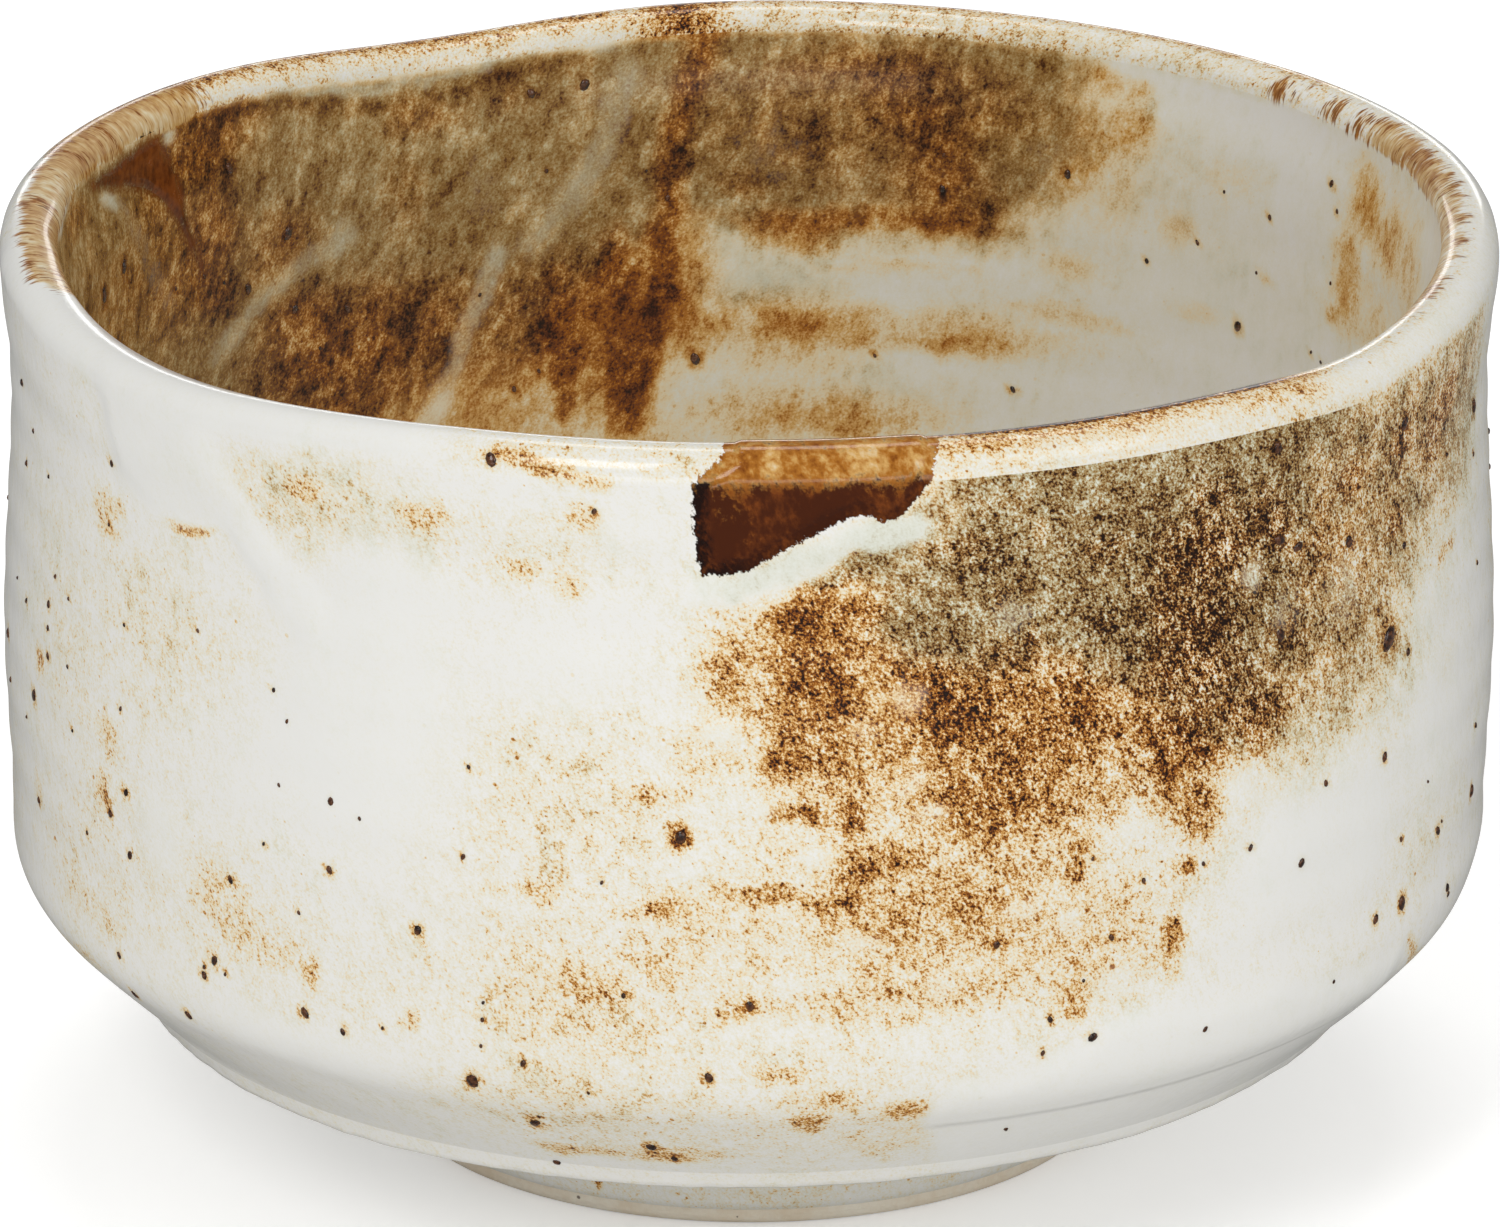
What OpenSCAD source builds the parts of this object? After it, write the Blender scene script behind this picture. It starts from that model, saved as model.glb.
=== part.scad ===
// Matcha bowl (chawan): a deep, upright tea bowl with a rounded lip, a drawn-in
// waist, a hip that turns sharply under to a trimmed ledge, and a low foot ring.
// The clay body sits on its foot ring, coats of glaze cover both, and two panels
// of iron glaze are let into the coats at the lip.
// Millimetres. The origin is on the table under the bowl's centre, +Z is up and
// the front is -Y.

/* [Bowl] */
// Diameter across the lip
lip_d = 120; // [108:1:144]
// Height from the table to the top of the lip
bowl_h = 76.4; // [63:0.1:92]
// Thickness of the wall, with its glaze on both sides
wall_t = 4.8; // [4:0.1:6]
// Thickness of every coat of glaze
glaze_t = 0.6; // [0.4:0.1:0.8]

/* [Lip] */
// Width of the lip between its outer and inner edges
lip_w = 4.6; // [3.6:0.1:6]
// Drop from the top of the lip to its outer edge, where the lip glaze ends
lip_out_h = 2.6; // [2:0.1:4]
// Drop from the top of the lip to its inner edge, where the lip glaze ends
lip_in_h = 2; // [1.4:0.1:3]

/* [Wall] */
// How far the waist is drawn in from the lip
waist_in = 0.7; // [0:0.1:2]
// Drop from the top of the lip to the waist
waist_drop = 11; // [8:0.5:16]
// How far the belly stands out from the lip
belly_out = 0.4; // [0:0.1:2]
// Height of the belly above the table
belly_z = 41; // [36:0.5:50]
// How far the top of the hip is drawn in from the belly
hip_in = 0.4; // [0:0.1:1.5]
// Height above the table at which the hip has turned upright
hip_z = 26.5; // [23:0.5:32]
// Radius of the turn at the hip
hip_r = 9; // [5:0.5:11]

/* [Ledge] */
// How far the trimmed ledge at the bottom of the wall is drawn in from the lip
ledge_in = 9; // [6:0.5:14]
// Height of the ledge's upper edge above the table
ledge_z = 13.6; // [12:0.1:16]
// Height of the band cut around the ledge
ledge_band = 1.6; // [0.8:0.1:2.4]
// How far the bottom of the band is cut under its top
ledge_undercut = 1; // [0.2:0.1:2]

/* [Foot] */
// Outer diameter of the foot ring's tread, with its glaze
foot_d = 61; // [50:1:74]
// Width of the tread that stands on the table
tread_w = 5.5; // [4:0.1:8]
// Height of the foot ring, which is the depth of the recess inside it
foot_h = 7.5; // [6:0.1:9]
// How much wider each side of the foot ring is at its root than at its tread
foot_flare = 1.2; // [0:0.1:2.5]
// Rounding of the tread's two edges
tread_edge = 0.6; // [0.2:0.1:1]
// Height of the bare clay left above the tread
foot_bare = 1.6; // [1:0.1:3]

/* [Well] */
// Height of the well's floor above the table, on its glaze
floor_z = 15.5; // [14.5:0.1:19]
// Radius of the turn from the well's wall to its floor
well_r = 20; // [14:0.5:24]
// Diameter of the tea pool sunk in the floor
pool_d = 36; // [20:1:50]
// Depth of the tea pool
pool_depth = 0.8; // [0.2:0.1:1.2]

/* [Iron panels] */
// Width of the iron panel outside the lip
outer_panel_w = 17.4; // [10:0.1:24]
// Drop of the outer panel below the lip glaze
outer_panel_drop = 8.3; // [5:0.1:12]
// Direction from the bowl's centre to the outer panel
outer_panel_az = -86; // [-180:1:180]
// Width of the iron panel inside the lip
inner_panel_w = 16; // [10:0.1:22]
// Drop of the inner panel's run below the lip glaze
inner_panel_drop = 21; // [12:0.1:26]
// Direction from the bowl's centre to the inner panel
inner_panel_az = 160; // [-180:1:180]

/* [Hidden] */

steps = 8;                        // straight bands in each run of a profile
panel_over = 1;                   // how far a panel's cutter stands past the coat

lip_r = lip_d / 2;
lip_mid_r = lip_r - lip_w / 2;
belly_r = lip_r + belly_out;
waist_r = lip_r - waist_in;
hip_top_r = belly_r - hip_in;
waist_z = bowl_h - waist_drop;
ledge_r = lip_r - ledge_in;
tread_out = foot_d / 2 - glaze_t;  // of the clay ring, inside its glaze
root_out = tread_out + foot_flare;
tread_in = tread_out - tread_w;
root_in = tread_in - foot_flare;

// The hip turns about this centre, and the skirt below it is the line from the
// ledge's upper edge that runs into the turn without a corner.
hip_centre = [hip_top_r - hip_r, hip_z];
ledge_to_hip = hip_centre - [ledge_r, ledge_z];
skirt_angle = atan2(ledge_to_hip.y, ledge_to_hip.x) - asin(hip_r / norm(ledge_to_hip));

function ease(t) = t * t * (3 - 2 * t);
function reversed(points) = [for (i = [len(points) - 1 : -1 : 0]) points[i]];
function without_first(points) = [for (i = [1 : len(points) - 1]) points[i]];

// Points of an ellipse's arc, both ends included
function arc(centre, rx, ry, from, to) =
    [for (i = [0 : steps])
        let (a = from + (to - from) * i / steps) centre + [rx * cos(a), ry * sin(a)]];

// Points of a run that is upright at both ends, its start left out
function upright_run(start, end) =
    [for (i = [1 : steps])
        [start.x + (end.x - start.x) * ease(i / steps), start.y + (end.y - start.y) * i / steps]];

// Each line below is half of a section, drawn in from the glazed surface by
// "inset": 0 is the glaze's own surface and glaze_t is the clay under it.

// From the foot ring's root out to the ledge's upper edge
function ledge_line(inset) = [
    [root_out + glaze_t - inset, foot_h - glaze_t + inset],
    [ledge_r - ledge_undercut - inset, ledge_z - ledge_band + inset],
    [ledge_r - inset, ledge_z + inset * (1 / cos(skirt_angle) - tan(skirt_angle))]
];

// From the top of the hip's turn, up the belly and the waist to the lip's outer edge
function upper_wall_line(inset) = concat(
    upright_run([hip_top_r - inset, hip_z], [belly_r - inset, belly_z]),
    upright_run([belly_r - inset, belly_z], [waist_r - inset, waist_z]),
    upright_run([waist_r - inset, waist_z], [lip_r - inset, bowl_h - lip_out_h])
);

// From the ledge's upper edge up to the lip's outer edge
function wall_line(inset) = concat(
    [ledge_line(inset)[2]],
    arc(hip_centre, hip_r - inset, hip_r - inset, skirt_angle - 90, 0),
    upper_wall_line(inset)
);

// Over the lip, from its outer edge to its inner edge
function lip_line(inset) = concat(
    arc([lip_mid_r, bowl_h - lip_out_h], lip_w / 2 - inset, lip_out_h - inset, 0, 90),
    without_first(
        arc([lip_mid_r, bowl_h - lip_in_h], lip_w / 2 - inset, lip_in_h - inset, 90, 180))
);

// From the lip's inner edge down the well to the middle of its floor
function well_line(inset) = concat(
    [[lip_r - lip_w + inset, bowl_h - lip_in_h]],
    upright_run([lip_r - lip_w + inset, bowl_h - lip_in_h], [waist_r - wall_t + inset, waist_z]),
    upright_run([waist_r - wall_t + inset, waist_z],
                [belly_r - wall_t + inset, floor_z + well_r]),
    without_first(
        arc([belly_r - wall_t - well_r, floor_z + well_r], well_r + inset, well_r + inset, 0, -90)),
    [for (i = [0 : steps])
        [pool_d / 2 * (1 - i / steps), floor_z - inset - pool_depth * ease(i / steps)]]
);

// The ring of glaze between one line's surface and the clay under it
module coat(surface, clay) {
    rotate_extrude() polygon(concat(surface, reversed(clay)));
}

module wall_coat() {
    coat(wall_line(0), wall_line(glaze_t));
}

module well_coat() {
    coat(well_line(0), well_line(glaze_t));
}

// A block that cuts a panel's outline through the wall, in the direction given.
// The outline's x runs along the lip and its y is the height.
module panel_cutter(direction, outline) {
    rotate([0, 0, direction])
        translate([lip_r / 2, 0, 0])
            rotate([90, 0, 90])
                linear_extrude(lip_r) polygon(outline);
}

// A ragged patch with one long, dragged-out lower corner
module outer_panel_cutter() {
    top = bowl_h - lip_out_h + panel_over;
    foot = bowl_h - lip_out_h - outer_panel_drop;
    w = outer_panel_w;
    h = outer_panel_drop;
    panel_cutter(outer_panel_az, [
        [-w * 0.40, top], [-w * 0.50, foot + h * 0.82], [-w * 0.44, foot], [-w * 0.38, foot],
        [-w * 0.16, foot + h * 0.18], [w * 0.08, foot + h * 0.52], [w * 0.18, foot + h * 0.59],
        [w * 0.28, foot + h * 0.49], [w * 0.42, foot + h * 0.52], [w * 0.50, top]
    ]);
}

// A block under the lip with a narrow run of glaze down from its far corner
module inner_panel_cutter() {
    top = bowl_h - lip_in_h + panel_over;
    foot = bowl_h - lip_in_h - inner_panel_drop;
    w = inner_panel_w;
    h = inner_panel_drop;
    panel_cutter(inner_panel_az, [
        [w * 0.50, top], [w * 0.42, foot + h * 0.86], [0, foot + h * 0.74],
        [-w * 0.50, foot + h * 0.45], [-w * 0.86, foot], [-w * 1.00, foot + h * 0.04],
        [-w * 0.66, foot + h * 0.52], [-w * 0.50, top]
    ]);
}

module clay_body() {
    color("tan")
        rotate_extrude()
            polygon(concat([[0, foot_h]], ledge_line(glaze_t), without_first(wall_line(glaze_t)),
                           without_first(lip_line(glaze_t)), without_first(well_line(glaze_t))));
}

module foot_ring() {
    color("peru")
        rotate_extrude()
            polygon([
                [tread_in + tread_edge, 0], [tread_out - tread_edge, 0], [tread_out, tread_edge],
                [root_out, foot_h], [root_in, foot_h], [tread_in, tread_edge]
            ]);
}

module outer_glaze() {
    color("ivory")
        difference() {
            wall_coat();
            outer_panel_cutter();
        }
}

module inner_glaze() {
    color("beige")
        difference() {
            well_coat();
            inner_panel_cutter();
        }
}

module rim_glaze() {
    color("burlywood") coat(lip_line(0), lip_line(glaze_t));
}

// Over the ledge's band and the underside, then down the foot ring to its bare strip
module foot_glaze() {
    bare_r = tread_out + foot_flare * (foot_bare - tread_edge) / (foot_h - tread_edge);
    color("white")
        coat(concat([[bare_r + glaze_t, foot_bare]], ledge_line(0)),
             concat([[bare_r, foot_bare]], ledge_line(glaze_t)));
}

module iron_panel_outer() {
    color("saddlebrown")
        intersection() {
            wall_coat();
            outer_panel_cutter();
        }
}

module iron_panel_inner() {
    color("sienna")
        intersection() {
            well_coat();
            inner_panel_cutter();
        }
}

clay_body();
foot_ring();
outer_glaze();
inner_glaze();
rim_glaze();
foot_glaze();
iron_panel_outer();
iron_panel_inner();
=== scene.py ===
"""Matcha bowl: the glazes, lip, ledge and foot of a hand-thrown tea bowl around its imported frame."""

import logging
import math
import random
from dataclasses import dataclass
from enum import Enum

import bpy
import numpy as np
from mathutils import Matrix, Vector, noise


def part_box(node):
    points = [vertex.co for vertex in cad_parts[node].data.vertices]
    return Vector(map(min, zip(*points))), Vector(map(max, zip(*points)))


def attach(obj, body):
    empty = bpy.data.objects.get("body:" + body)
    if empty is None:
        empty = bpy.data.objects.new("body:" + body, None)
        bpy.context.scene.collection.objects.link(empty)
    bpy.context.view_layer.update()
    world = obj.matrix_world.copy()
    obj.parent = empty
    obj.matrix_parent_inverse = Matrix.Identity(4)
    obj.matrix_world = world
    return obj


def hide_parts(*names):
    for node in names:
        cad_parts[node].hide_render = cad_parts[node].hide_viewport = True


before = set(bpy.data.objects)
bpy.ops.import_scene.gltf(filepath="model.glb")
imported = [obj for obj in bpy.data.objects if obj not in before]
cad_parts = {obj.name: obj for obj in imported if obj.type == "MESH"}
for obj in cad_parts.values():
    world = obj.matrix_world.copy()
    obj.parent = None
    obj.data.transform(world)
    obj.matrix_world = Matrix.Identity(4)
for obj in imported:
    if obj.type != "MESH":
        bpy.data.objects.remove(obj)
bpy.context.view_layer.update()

LOG = logging.getLogger("matcha_bowl")

MM = 0.001
FAR = 1e9
NOISE_SEED = 5
BODY = "root"

Point = tuple[float, float]
Colour = tuple[float, float, float, float]
Point3 = tuple[float, float, float]


# ---------------------------------------------------------------------------------------------
# Curves and easing, in millimetres
# ---------------------------------------------------------------------------------------------


def smooth(low: float, high: float, value: np.ndarray) -> np.ndarray:
    """Ease from 0 to 1 as the value goes from low to high.

    Args:
        low: Value at which the result is 0.
        high: Value at which the result is 1; it may be below low.
        value: Values to ease.

    Returns:
        The eased values, between 0 and 1.
    """
    t = np.clip((value - low) / (high - low), 0.0, 1.0)
    return t * t * (3.0 - 2.0 * t)


def degrees_past(bearing: np.ndarray, start: float) -> np.ndarray:
    """Return how far round bearings lie past a start, the short way, from -180 to 180 degrees."""
    return (bearing - start + 180.0) % 360.0 - 180.0


def bump_at(centre: float, width: float, bearing: np.ndarray) -> np.ndarray:
    """Return a soft bump of height 1 around one bearing, in degrees, that wraps round the bowl."""
    return np.exp(-((degrees_past(bearing, centre) / width) ** 2))


def arc(centre: Point, radii: Point, start: float, end: float, count: int = 40) -> list[Point]:
    """Return points on an ellipse's arc between two angles in degrees, both ends included."""
    angles = [math.radians(start + (end - start) * i / count) for i in range(count + 1)]
    return [(centre[0] + radii[0] * math.cos(a), centre[1] + radii[1] * math.sin(a)) for a in angles]


def upright_run(start: Point, end: Point, count: int = 40) -> list[Point]:
    """Return a run that is upright at both ends, its start left out.

    Args:
        start: Point that the run starts from.
        end: Point that it ends on.
        count: Number of points.

    Returns:
        The points, the start left out.
    """
    shares = [i / count for i in range(1, count + 1)]
    return [
        (start[0] + (end[0] - start[0]) * t * t * (3 - 2 * t), start[1] + (end[1] - start[1]) * t)
        for t in shares
    ]


def spaced(points: list[Point], gap: float) -> list[Point]:
    """Space points evenly along a line.

    Args:
        points: The line's points.
        gap: The distance wanted between neighbours, in millimetres.

    Returns:
        Evenly spaced points on the same line, both ends kept.
    """
    line = np.array(points)
    along = np.concatenate([[0.0], np.cumsum(np.hypot(*np.diff(line, axis=0).T))])
    stops = np.linspace(0.0, along[-1], max(2, round(along[-1] / gap) + 1))
    return list(zip(np.interp(stops, along, line[:, 0]), np.interp(stops, along, line[:, 1])))


# ---------------------------------------------------------------------------------------------
# The thrown shape
# ---------------------------------------------------------------------------------------------


@dataclass(frozen=True)
class ThrownShape:
    """Half sections of the bowl in millimetres, as (radius, height); an inset of 0 is the glaze."""

    height: float
    lip_r: float
    belly_r: float
    ledge_r: float
    root_r: float
    foot_h: float
    pool_z: float
    glaze: float = 0.6
    lip_w: float = 4.6
    lip_out_h: float = 2.6
    lip_in_h: float = 2.0
    wall: float = 4.8
    waist_in: float = 0.7
    waist_drop: float = 11.0
    belly_z: float = 41.0
    hip_in: float = 0.4
    hip_z: float = 26.5
    hip_turn: float = 9.0
    ledge_z: float = 13.6
    ledge_band: float = 1.6
    ledge_undercut: float = 1.0
    tread_w: float = 5.5
    foot_flare: float = 1.2
    foot_bare: float = 1.6
    well_turn: float = 20.0
    pool_r: float = 18.0
    pool_depth: float = 0.8

    @classmethod
    def from_frame(cls) -> "ThrownShape":
        """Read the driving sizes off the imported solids.

        Returns:
            The bowl's shape in millimetres.
        """
        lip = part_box("rim_glaze")[1]
        return cls(
            height=lip[2] / MM,
            lip_r=lip[0] / MM,
            belly_r=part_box("outer_glaze")[1][0] / MM,
            ledge_r=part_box("foot_glaze")[1][0] / MM,
            root_r=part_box("foot_ring")[1][0] / MM,
            foot_h=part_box("foot_ring")[1][2] / MM,
            pool_z=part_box("inner_glaze")[0][2] / MM + cls.glaze,
        )

    @property
    def lip_mid(self) -> float:
        """Return the radius of the lip's crest."""
        return self.lip_r - self.lip_w / 2

    @property
    def waist_z(self) -> float:
        """Return the height of the waist."""
        return self.height - self.waist_drop

    @property
    def floor_z(self) -> float:
        """Return the height of the well's floor around the tea pool."""
        return self.pool_z + self.pool_depth

    @property
    def well_r(self) -> float:
        """Return the radius of the well at the belly."""
        return self.belly_r - self.wall

    def ledge_line(self, inset: float) -> list[Point]:
        """Return the line from the foot's root out to the ledge's upper edge.

        Args:
            inset: Depth below the glaze's surface in millimetres.

        Returns:
            The line's points.
        """
        low = (self.ledge_r - self.ledge_undercut - inset, self.ledge_z - self.ledge_band + inset)
        root = (self.root_r + self.glaze - inset, self.foot_h - self.glaze + inset)
        fillet = arc((root[0] + 2.2, root[1] - 1.9), (2.2, 2.4), 180, 100, 8)
        return [*fillet, low, (self.ledge_r - inset, self.ledge_z + 0.4 * inset)]

    def wall_line(self, inset: float) -> list[Point]:
        """Return the line from the ledge's upper edge up to the lip's outer edge.

        Args:
            inset: Depth below the glaze's surface in millimetres.

        Returns:
            The line's points.
        """
        hip_r = self.belly_r - self.hip_in
        centre = (hip_r - self.hip_turn, self.hip_z)
        turn = self.hip_turn - inset
        to_hip = (centre[0] - self.ledge_r, centre[1] - self.ledge_z)
        slope = math.degrees(
            math.atan2(to_hip[1], to_hip[0]) - math.asin(self.hip_turn / math.hypot(*to_hip))
        )
        hip = (hip_r - inset, self.hip_z)
        belly = (self.belly_r - inset, self.belly_z)
        waist = (self.lip_r - self.waist_in - inset, self.waist_z)
        lip = (self.lip_r - inset, self.height - self.lip_out_h)
        return [
            self.ledge_line(inset)[-1],
            *arc(centre, (turn, turn), slope - 90, 0),
            *upright_run(hip, belly),
            *upright_run(belly, waist),
            *upright_run(waist, lip),
        ]

    def lip_line(self, inset: float) -> list[Point]:
        """Return the line over the lip, from its outer edge to its inner edge.

        Args:
            inset: Depth below the glaze's surface in millimetres.

        Returns:
            The line's points.
        """
        half = self.lip_w / 2 - inset
        outer = arc(
            (self.lip_mid, self.height - self.lip_out_h), (half, self.lip_out_h - inset), 0, 90
        )
        inner = arc(
            (self.lip_mid, self.height - self.lip_in_h), (half, self.lip_in_h - inset), 90, 180
        )
        return outer + inner[1:]

    def well_line(self, inset: float) -> list[Point]:
        """Return the line from the lip's inner edge down to the middle of the well's floor.

        Args:
            inset: Depth below the glaze's surface in millimetres.

        Returns:
            The line's points.
        """
        lip = (self.lip_r - self.lip_w + inset, self.height - self.lip_in_h)
        waist = (self.lip_r - self.waist_in - self.wall + inset, self.waist_z)
        side = (self.well_r + inset, self.floor_z + self.well_turn)
        turn = self.well_turn + inset
        centre = (self.well_r - self.well_turn, self.floor_z + self.well_turn)
        pool = [
            (self.pool_r * (1 - t), self.floor_z - inset - self.pool_depth * t * t * (3 - 2 * t))
            for t in (i / 20 for i in range(21))
        ]
        return [lip, *upright_run(lip, waist), *upright_run(waist, side),
                *arc(centre, (turn, turn), 0, -90)[1:], *pool]


@dataclass(frozen=True)
class HandWork:
    """How throwing, trimming and firing moved the bowl off true, the same for every piece."""

    shape: ThrownShape

    def rim_drop(self, bearing: np.ndarray) -> np.ndarray:
        """Return how far the rim lies below the bowl's full height, by bearing.

        Args:
            bearing: Bearings in degrees.

        Returns:
            The drop in millimetres.
        """
        front = smooth(-0.3, 0.5, np.cos(np.radians(bearing)))
        return (
            1.55 * front
            + 1.45 * bump_at(-152, 17, bearing)
            + 0.70 * bump_at(54, 11, bearing)
            + 1.35 * bump_at(-53, 21, bearing)
        )

    def ledge_shift(self, bearing: np.ndarray) -> np.ndarray:
        """Return how far the trimming moved the ledge's under edge up or down, by bearing.

        Args:
            bearing: Bearings in degrees.

        Returns:
            The shift in millimetres, below 0 where it is lower.
        """
        turns = np.radians(bearing)
        wander = np.array([
            noise.noise(Vector((4.0 * math.cos(t), 4.0 * math.sin(t), 0.7))) for t in turns
        ])
        chips = np.array([
            noise.noise(Vector((26.0 * math.cos(t), 26.0 * math.sin(t), 3.1))) for t in turns
        ])
        return 0.25 - 0.7 * bump_at(-48, 55, bearing) + 0.25 * wander + 0.16 * chips

    def moved(self, points: np.ndarray) -> np.ndarray:
        """Move points of the true shape to where they are on the finished bowl.

        Args:
            points: Points of the true shape in millimetres, one row each.

        Returns:
            The moved points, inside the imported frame's box.
        """
        s = self.shape
        x, y, z = points.T
        radius = np.hypot(x, y)
        bearing = np.degrees(np.arctan2(x, -y))
        turns = np.radians(bearing)
        upper = smooth(30.0, s.height, z)
        rise = z - self.rim_drop(bearing) * upper

        wall = smooth(s.ledge_z + 2.0, s.ledge_z + 14.0, z)
        outer = smooth(6.0, 14.0, radius)
        dents = (
            -0.20 * (1 - np.cos(2 * (turns - 1.62)))
            - 0.08 * (1 - np.cos(3 * turns + 4.7 + 0.6 * np.sin(z / 16.0)))
            - 0.04 * (1 - np.sin(5 * turns - z / 9.0))
            - 0.03
        )
        hips = (
            0.55 * bump_at(-90, 48, bearing) * np.exp(-(((z - 21.0) / 4.6) ** 2))
            + 0.50 * bump_at(88, 36, bearing) * np.exp(-(((z - 18.0) / 3.6) ** 2))
        )
        rings = -0.04 * (1 - np.sin(z * math.tau / 5.2 + turns))
        push = outer * (wall * (dents + rings) + smooth(s.ledge_z + 0.4, s.ledge_z + 3.0, z) * hips)

        edge = s.ledge_z - s.ledge_band / 2
        near_ledge = np.exp(-(((z - edge) / 1.1) ** 2)) * smooth(s.ledge_r - 4, s.ledge_r - 1.4, radius)
        under = near_ledge * smooth(s.ledge_z, s.ledge_z - s.ledge_band, z)
        rise = rise + under * self.ledge_shift(bearing)
        scale = np.where(radius > 1e-6, (radius + push) / np.maximum(radius, 1e-6), 1.0)
        return np.column_stack([x * scale, y * scale, rise])


# ---------------------------------------------------------------------------------------------
# Glaze painting: what lies where on the bowl
#
# A bearing is in degrees from the front, rising towards the right as seen from the front. A height
# is in millimetres, and past the lip's crest it goes on rising down the lip's inner side.
# ---------------------------------------------------------------------------------------------


@dataclass(frozen=True)
class Dab:
    """A soft oval of glaze."""

    bearing: float
    height: float
    half_w: float
    half_h: float
    strength: float
    tilt: float = 0.0

    SOFT_EDGE = (1.25, 0.25)

    def cover(self, bearing: np.ndarray, height: np.ndarray, radius: float) -> np.ndarray:
        """Return how strongly the oval covers each point of a wall of the given radius.

        Args:
            bearing: Bearings of the points in degrees.
            height: Their heights in millimetres.
            radius: Radius of the wall they are on, in millimetres.

        Returns:
            The cover, up to the oval's strength.
        """
        u = np.radians(degrees_past(bearing, self.bearing)) * radius
        v = height - self.height
        c, s = math.cos(math.radians(self.tilt)), math.sin(math.radians(self.tilt))
        reach = np.hypot((u * c + v * s) / self.half_w, (v * c - u * s) / self.half_h)
        return self.strength * smooth(*self.SOFT_EDGE, reach)


@dataclass(frozen=True)
class Run:
    """A trail of glaze along a path, of one half width in millimetres."""

    path: tuple[Point, ...]
    half_w: float
    strength: float

    SOFT_EDGE = (1.25, 0.3)

    def cover(self, bearing: np.ndarray, height: np.ndarray, radius: float) -> np.ndarray:
        """Return how strongly the trail covers each point of a wall of the given radius.

        Args:
            bearing: Bearings of the points in degrees.
            height: Their heights in millimetres.
            radius: Radius of the wall they are on, in millimetres.

        Returns:
            The cover, up to the trail's strength.
        """
        nearest = np.full(bearing.shape, FAR)
        for (b0, h0), (b1, h1) in zip(self.path, self.path[1:]):
            u = np.radians(degrees_past(bearing, b0)) * radius
            v = height - h0
            du, dv = math.radians(degrees_past(b1, b0)) * radius, h1 - h0
            t = np.clip((u * du + v * dv) / (du * du + dv * dv), 0.0, 1.0)
            nearest = np.minimum(nearest, np.hypot(u - t * du, v - t * dv))
        return self.strength * smooth(*self.SOFT_EDGE, nearest / self.half_w)


@dataclass(frozen=True)
class Patch:
    """A patch of glaze with a firm edge: 0.5 on the edge, rising to 1 over the blur inside it."""

    corners: tuple[Point, ...]
    strength: float = 1.0
    blur: float = 2.0

    def cover(self, bearing: np.ndarray, height: np.ndarray, radius: float) -> np.ndarray:
        """Return how deep in the patch each point of a wall of the given radius lies.

        Args:
            bearing: Bearings of the points in degrees.
            height: Their heights in millimetres.
            radius: Radius of the wall they are on, in millimetres.

        Returns:
            The cover, half the patch's strength on its edge.
        """
        middle = self.corners[0][0]
        scale = math.radians(1.0) * radius
        u, v = degrees_past(bearing, middle) * scale, height
        nearest = np.full(bearing.shape, FAR)
        inside = np.zeros(bearing.shape, dtype=bool)
        for (b0, h0), (b1, h1) in zip(self.corners, self.corners[1:] + self.corners[:1]):
            u0, u1 = (b0 - middle) * scale, (b1 - middle) * scale
            du, dv = u1 - u0, h1 - h0
            t = np.clip(((u - u0) * du + (v - h0) * dv) / (du * du + dv * dv), 0.0, 1.0)
            nearest = np.minimum(nearest, np.hypot(u - u0 - t * du, v - h0 - t * dv))
            if h0 != h1:
                crosses = (v > min(h0, h1)) & (v <= max(h0, h1)) & (u < u0 + (v - h0) / dv * du)
                inside ^= crosses
        depth = np.where(inside, nearest, -nearest)
        return self.strength * np.clip(0.5 + 0.5 * depth / self.blur, 0.0, 1.0)


Stroke = Dab | Run | Patch


class Layer(Enum):
    """The layers that are painted on a coat, as places in the two painted attributes."""

    RUST = 0
    OLIVE = 1
    WHITE = 2
    CREAM = 3
    IRON = 4
    AMBER = 5
    HAIR = 6
    # This layer holds the rusty halos round the specks and some dark lines, and also painted shade under the
    # lip inside the well.
    HALO = 7


class Side(Enum):
    """The side of the bowl that a coat is on."""

    OUTER = "outer"
    LIP = "lip"
    INNER = "inner"


OUTER_PANEL = Patch(((-1.5, 80.5), (-2, 76), (-4, 74), (-4, 71), (-3.5, 66.5), (-2, 66.5), (0, 67), (3, 69),
                     (5.5, 70.5), (8, 71.5), (10, 70.5), (11.5, 71.5), (12.5, 73), (14, 76.5), (14, 80.5)))
INNER_PANEL = Patch(((258.5, 74), (250, 74), (242, 74.5), (241.5, 73), (240, 71.5), (239.5, 68.5),
                     (238.5, 65.5), (237, 62), (236, 57.5), (239, 62), (241, 65.5), (243.5, 68),
                     (246, 69.5), (249, 70.5), (253, 71.5), (256.5, 72.5)))

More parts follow.
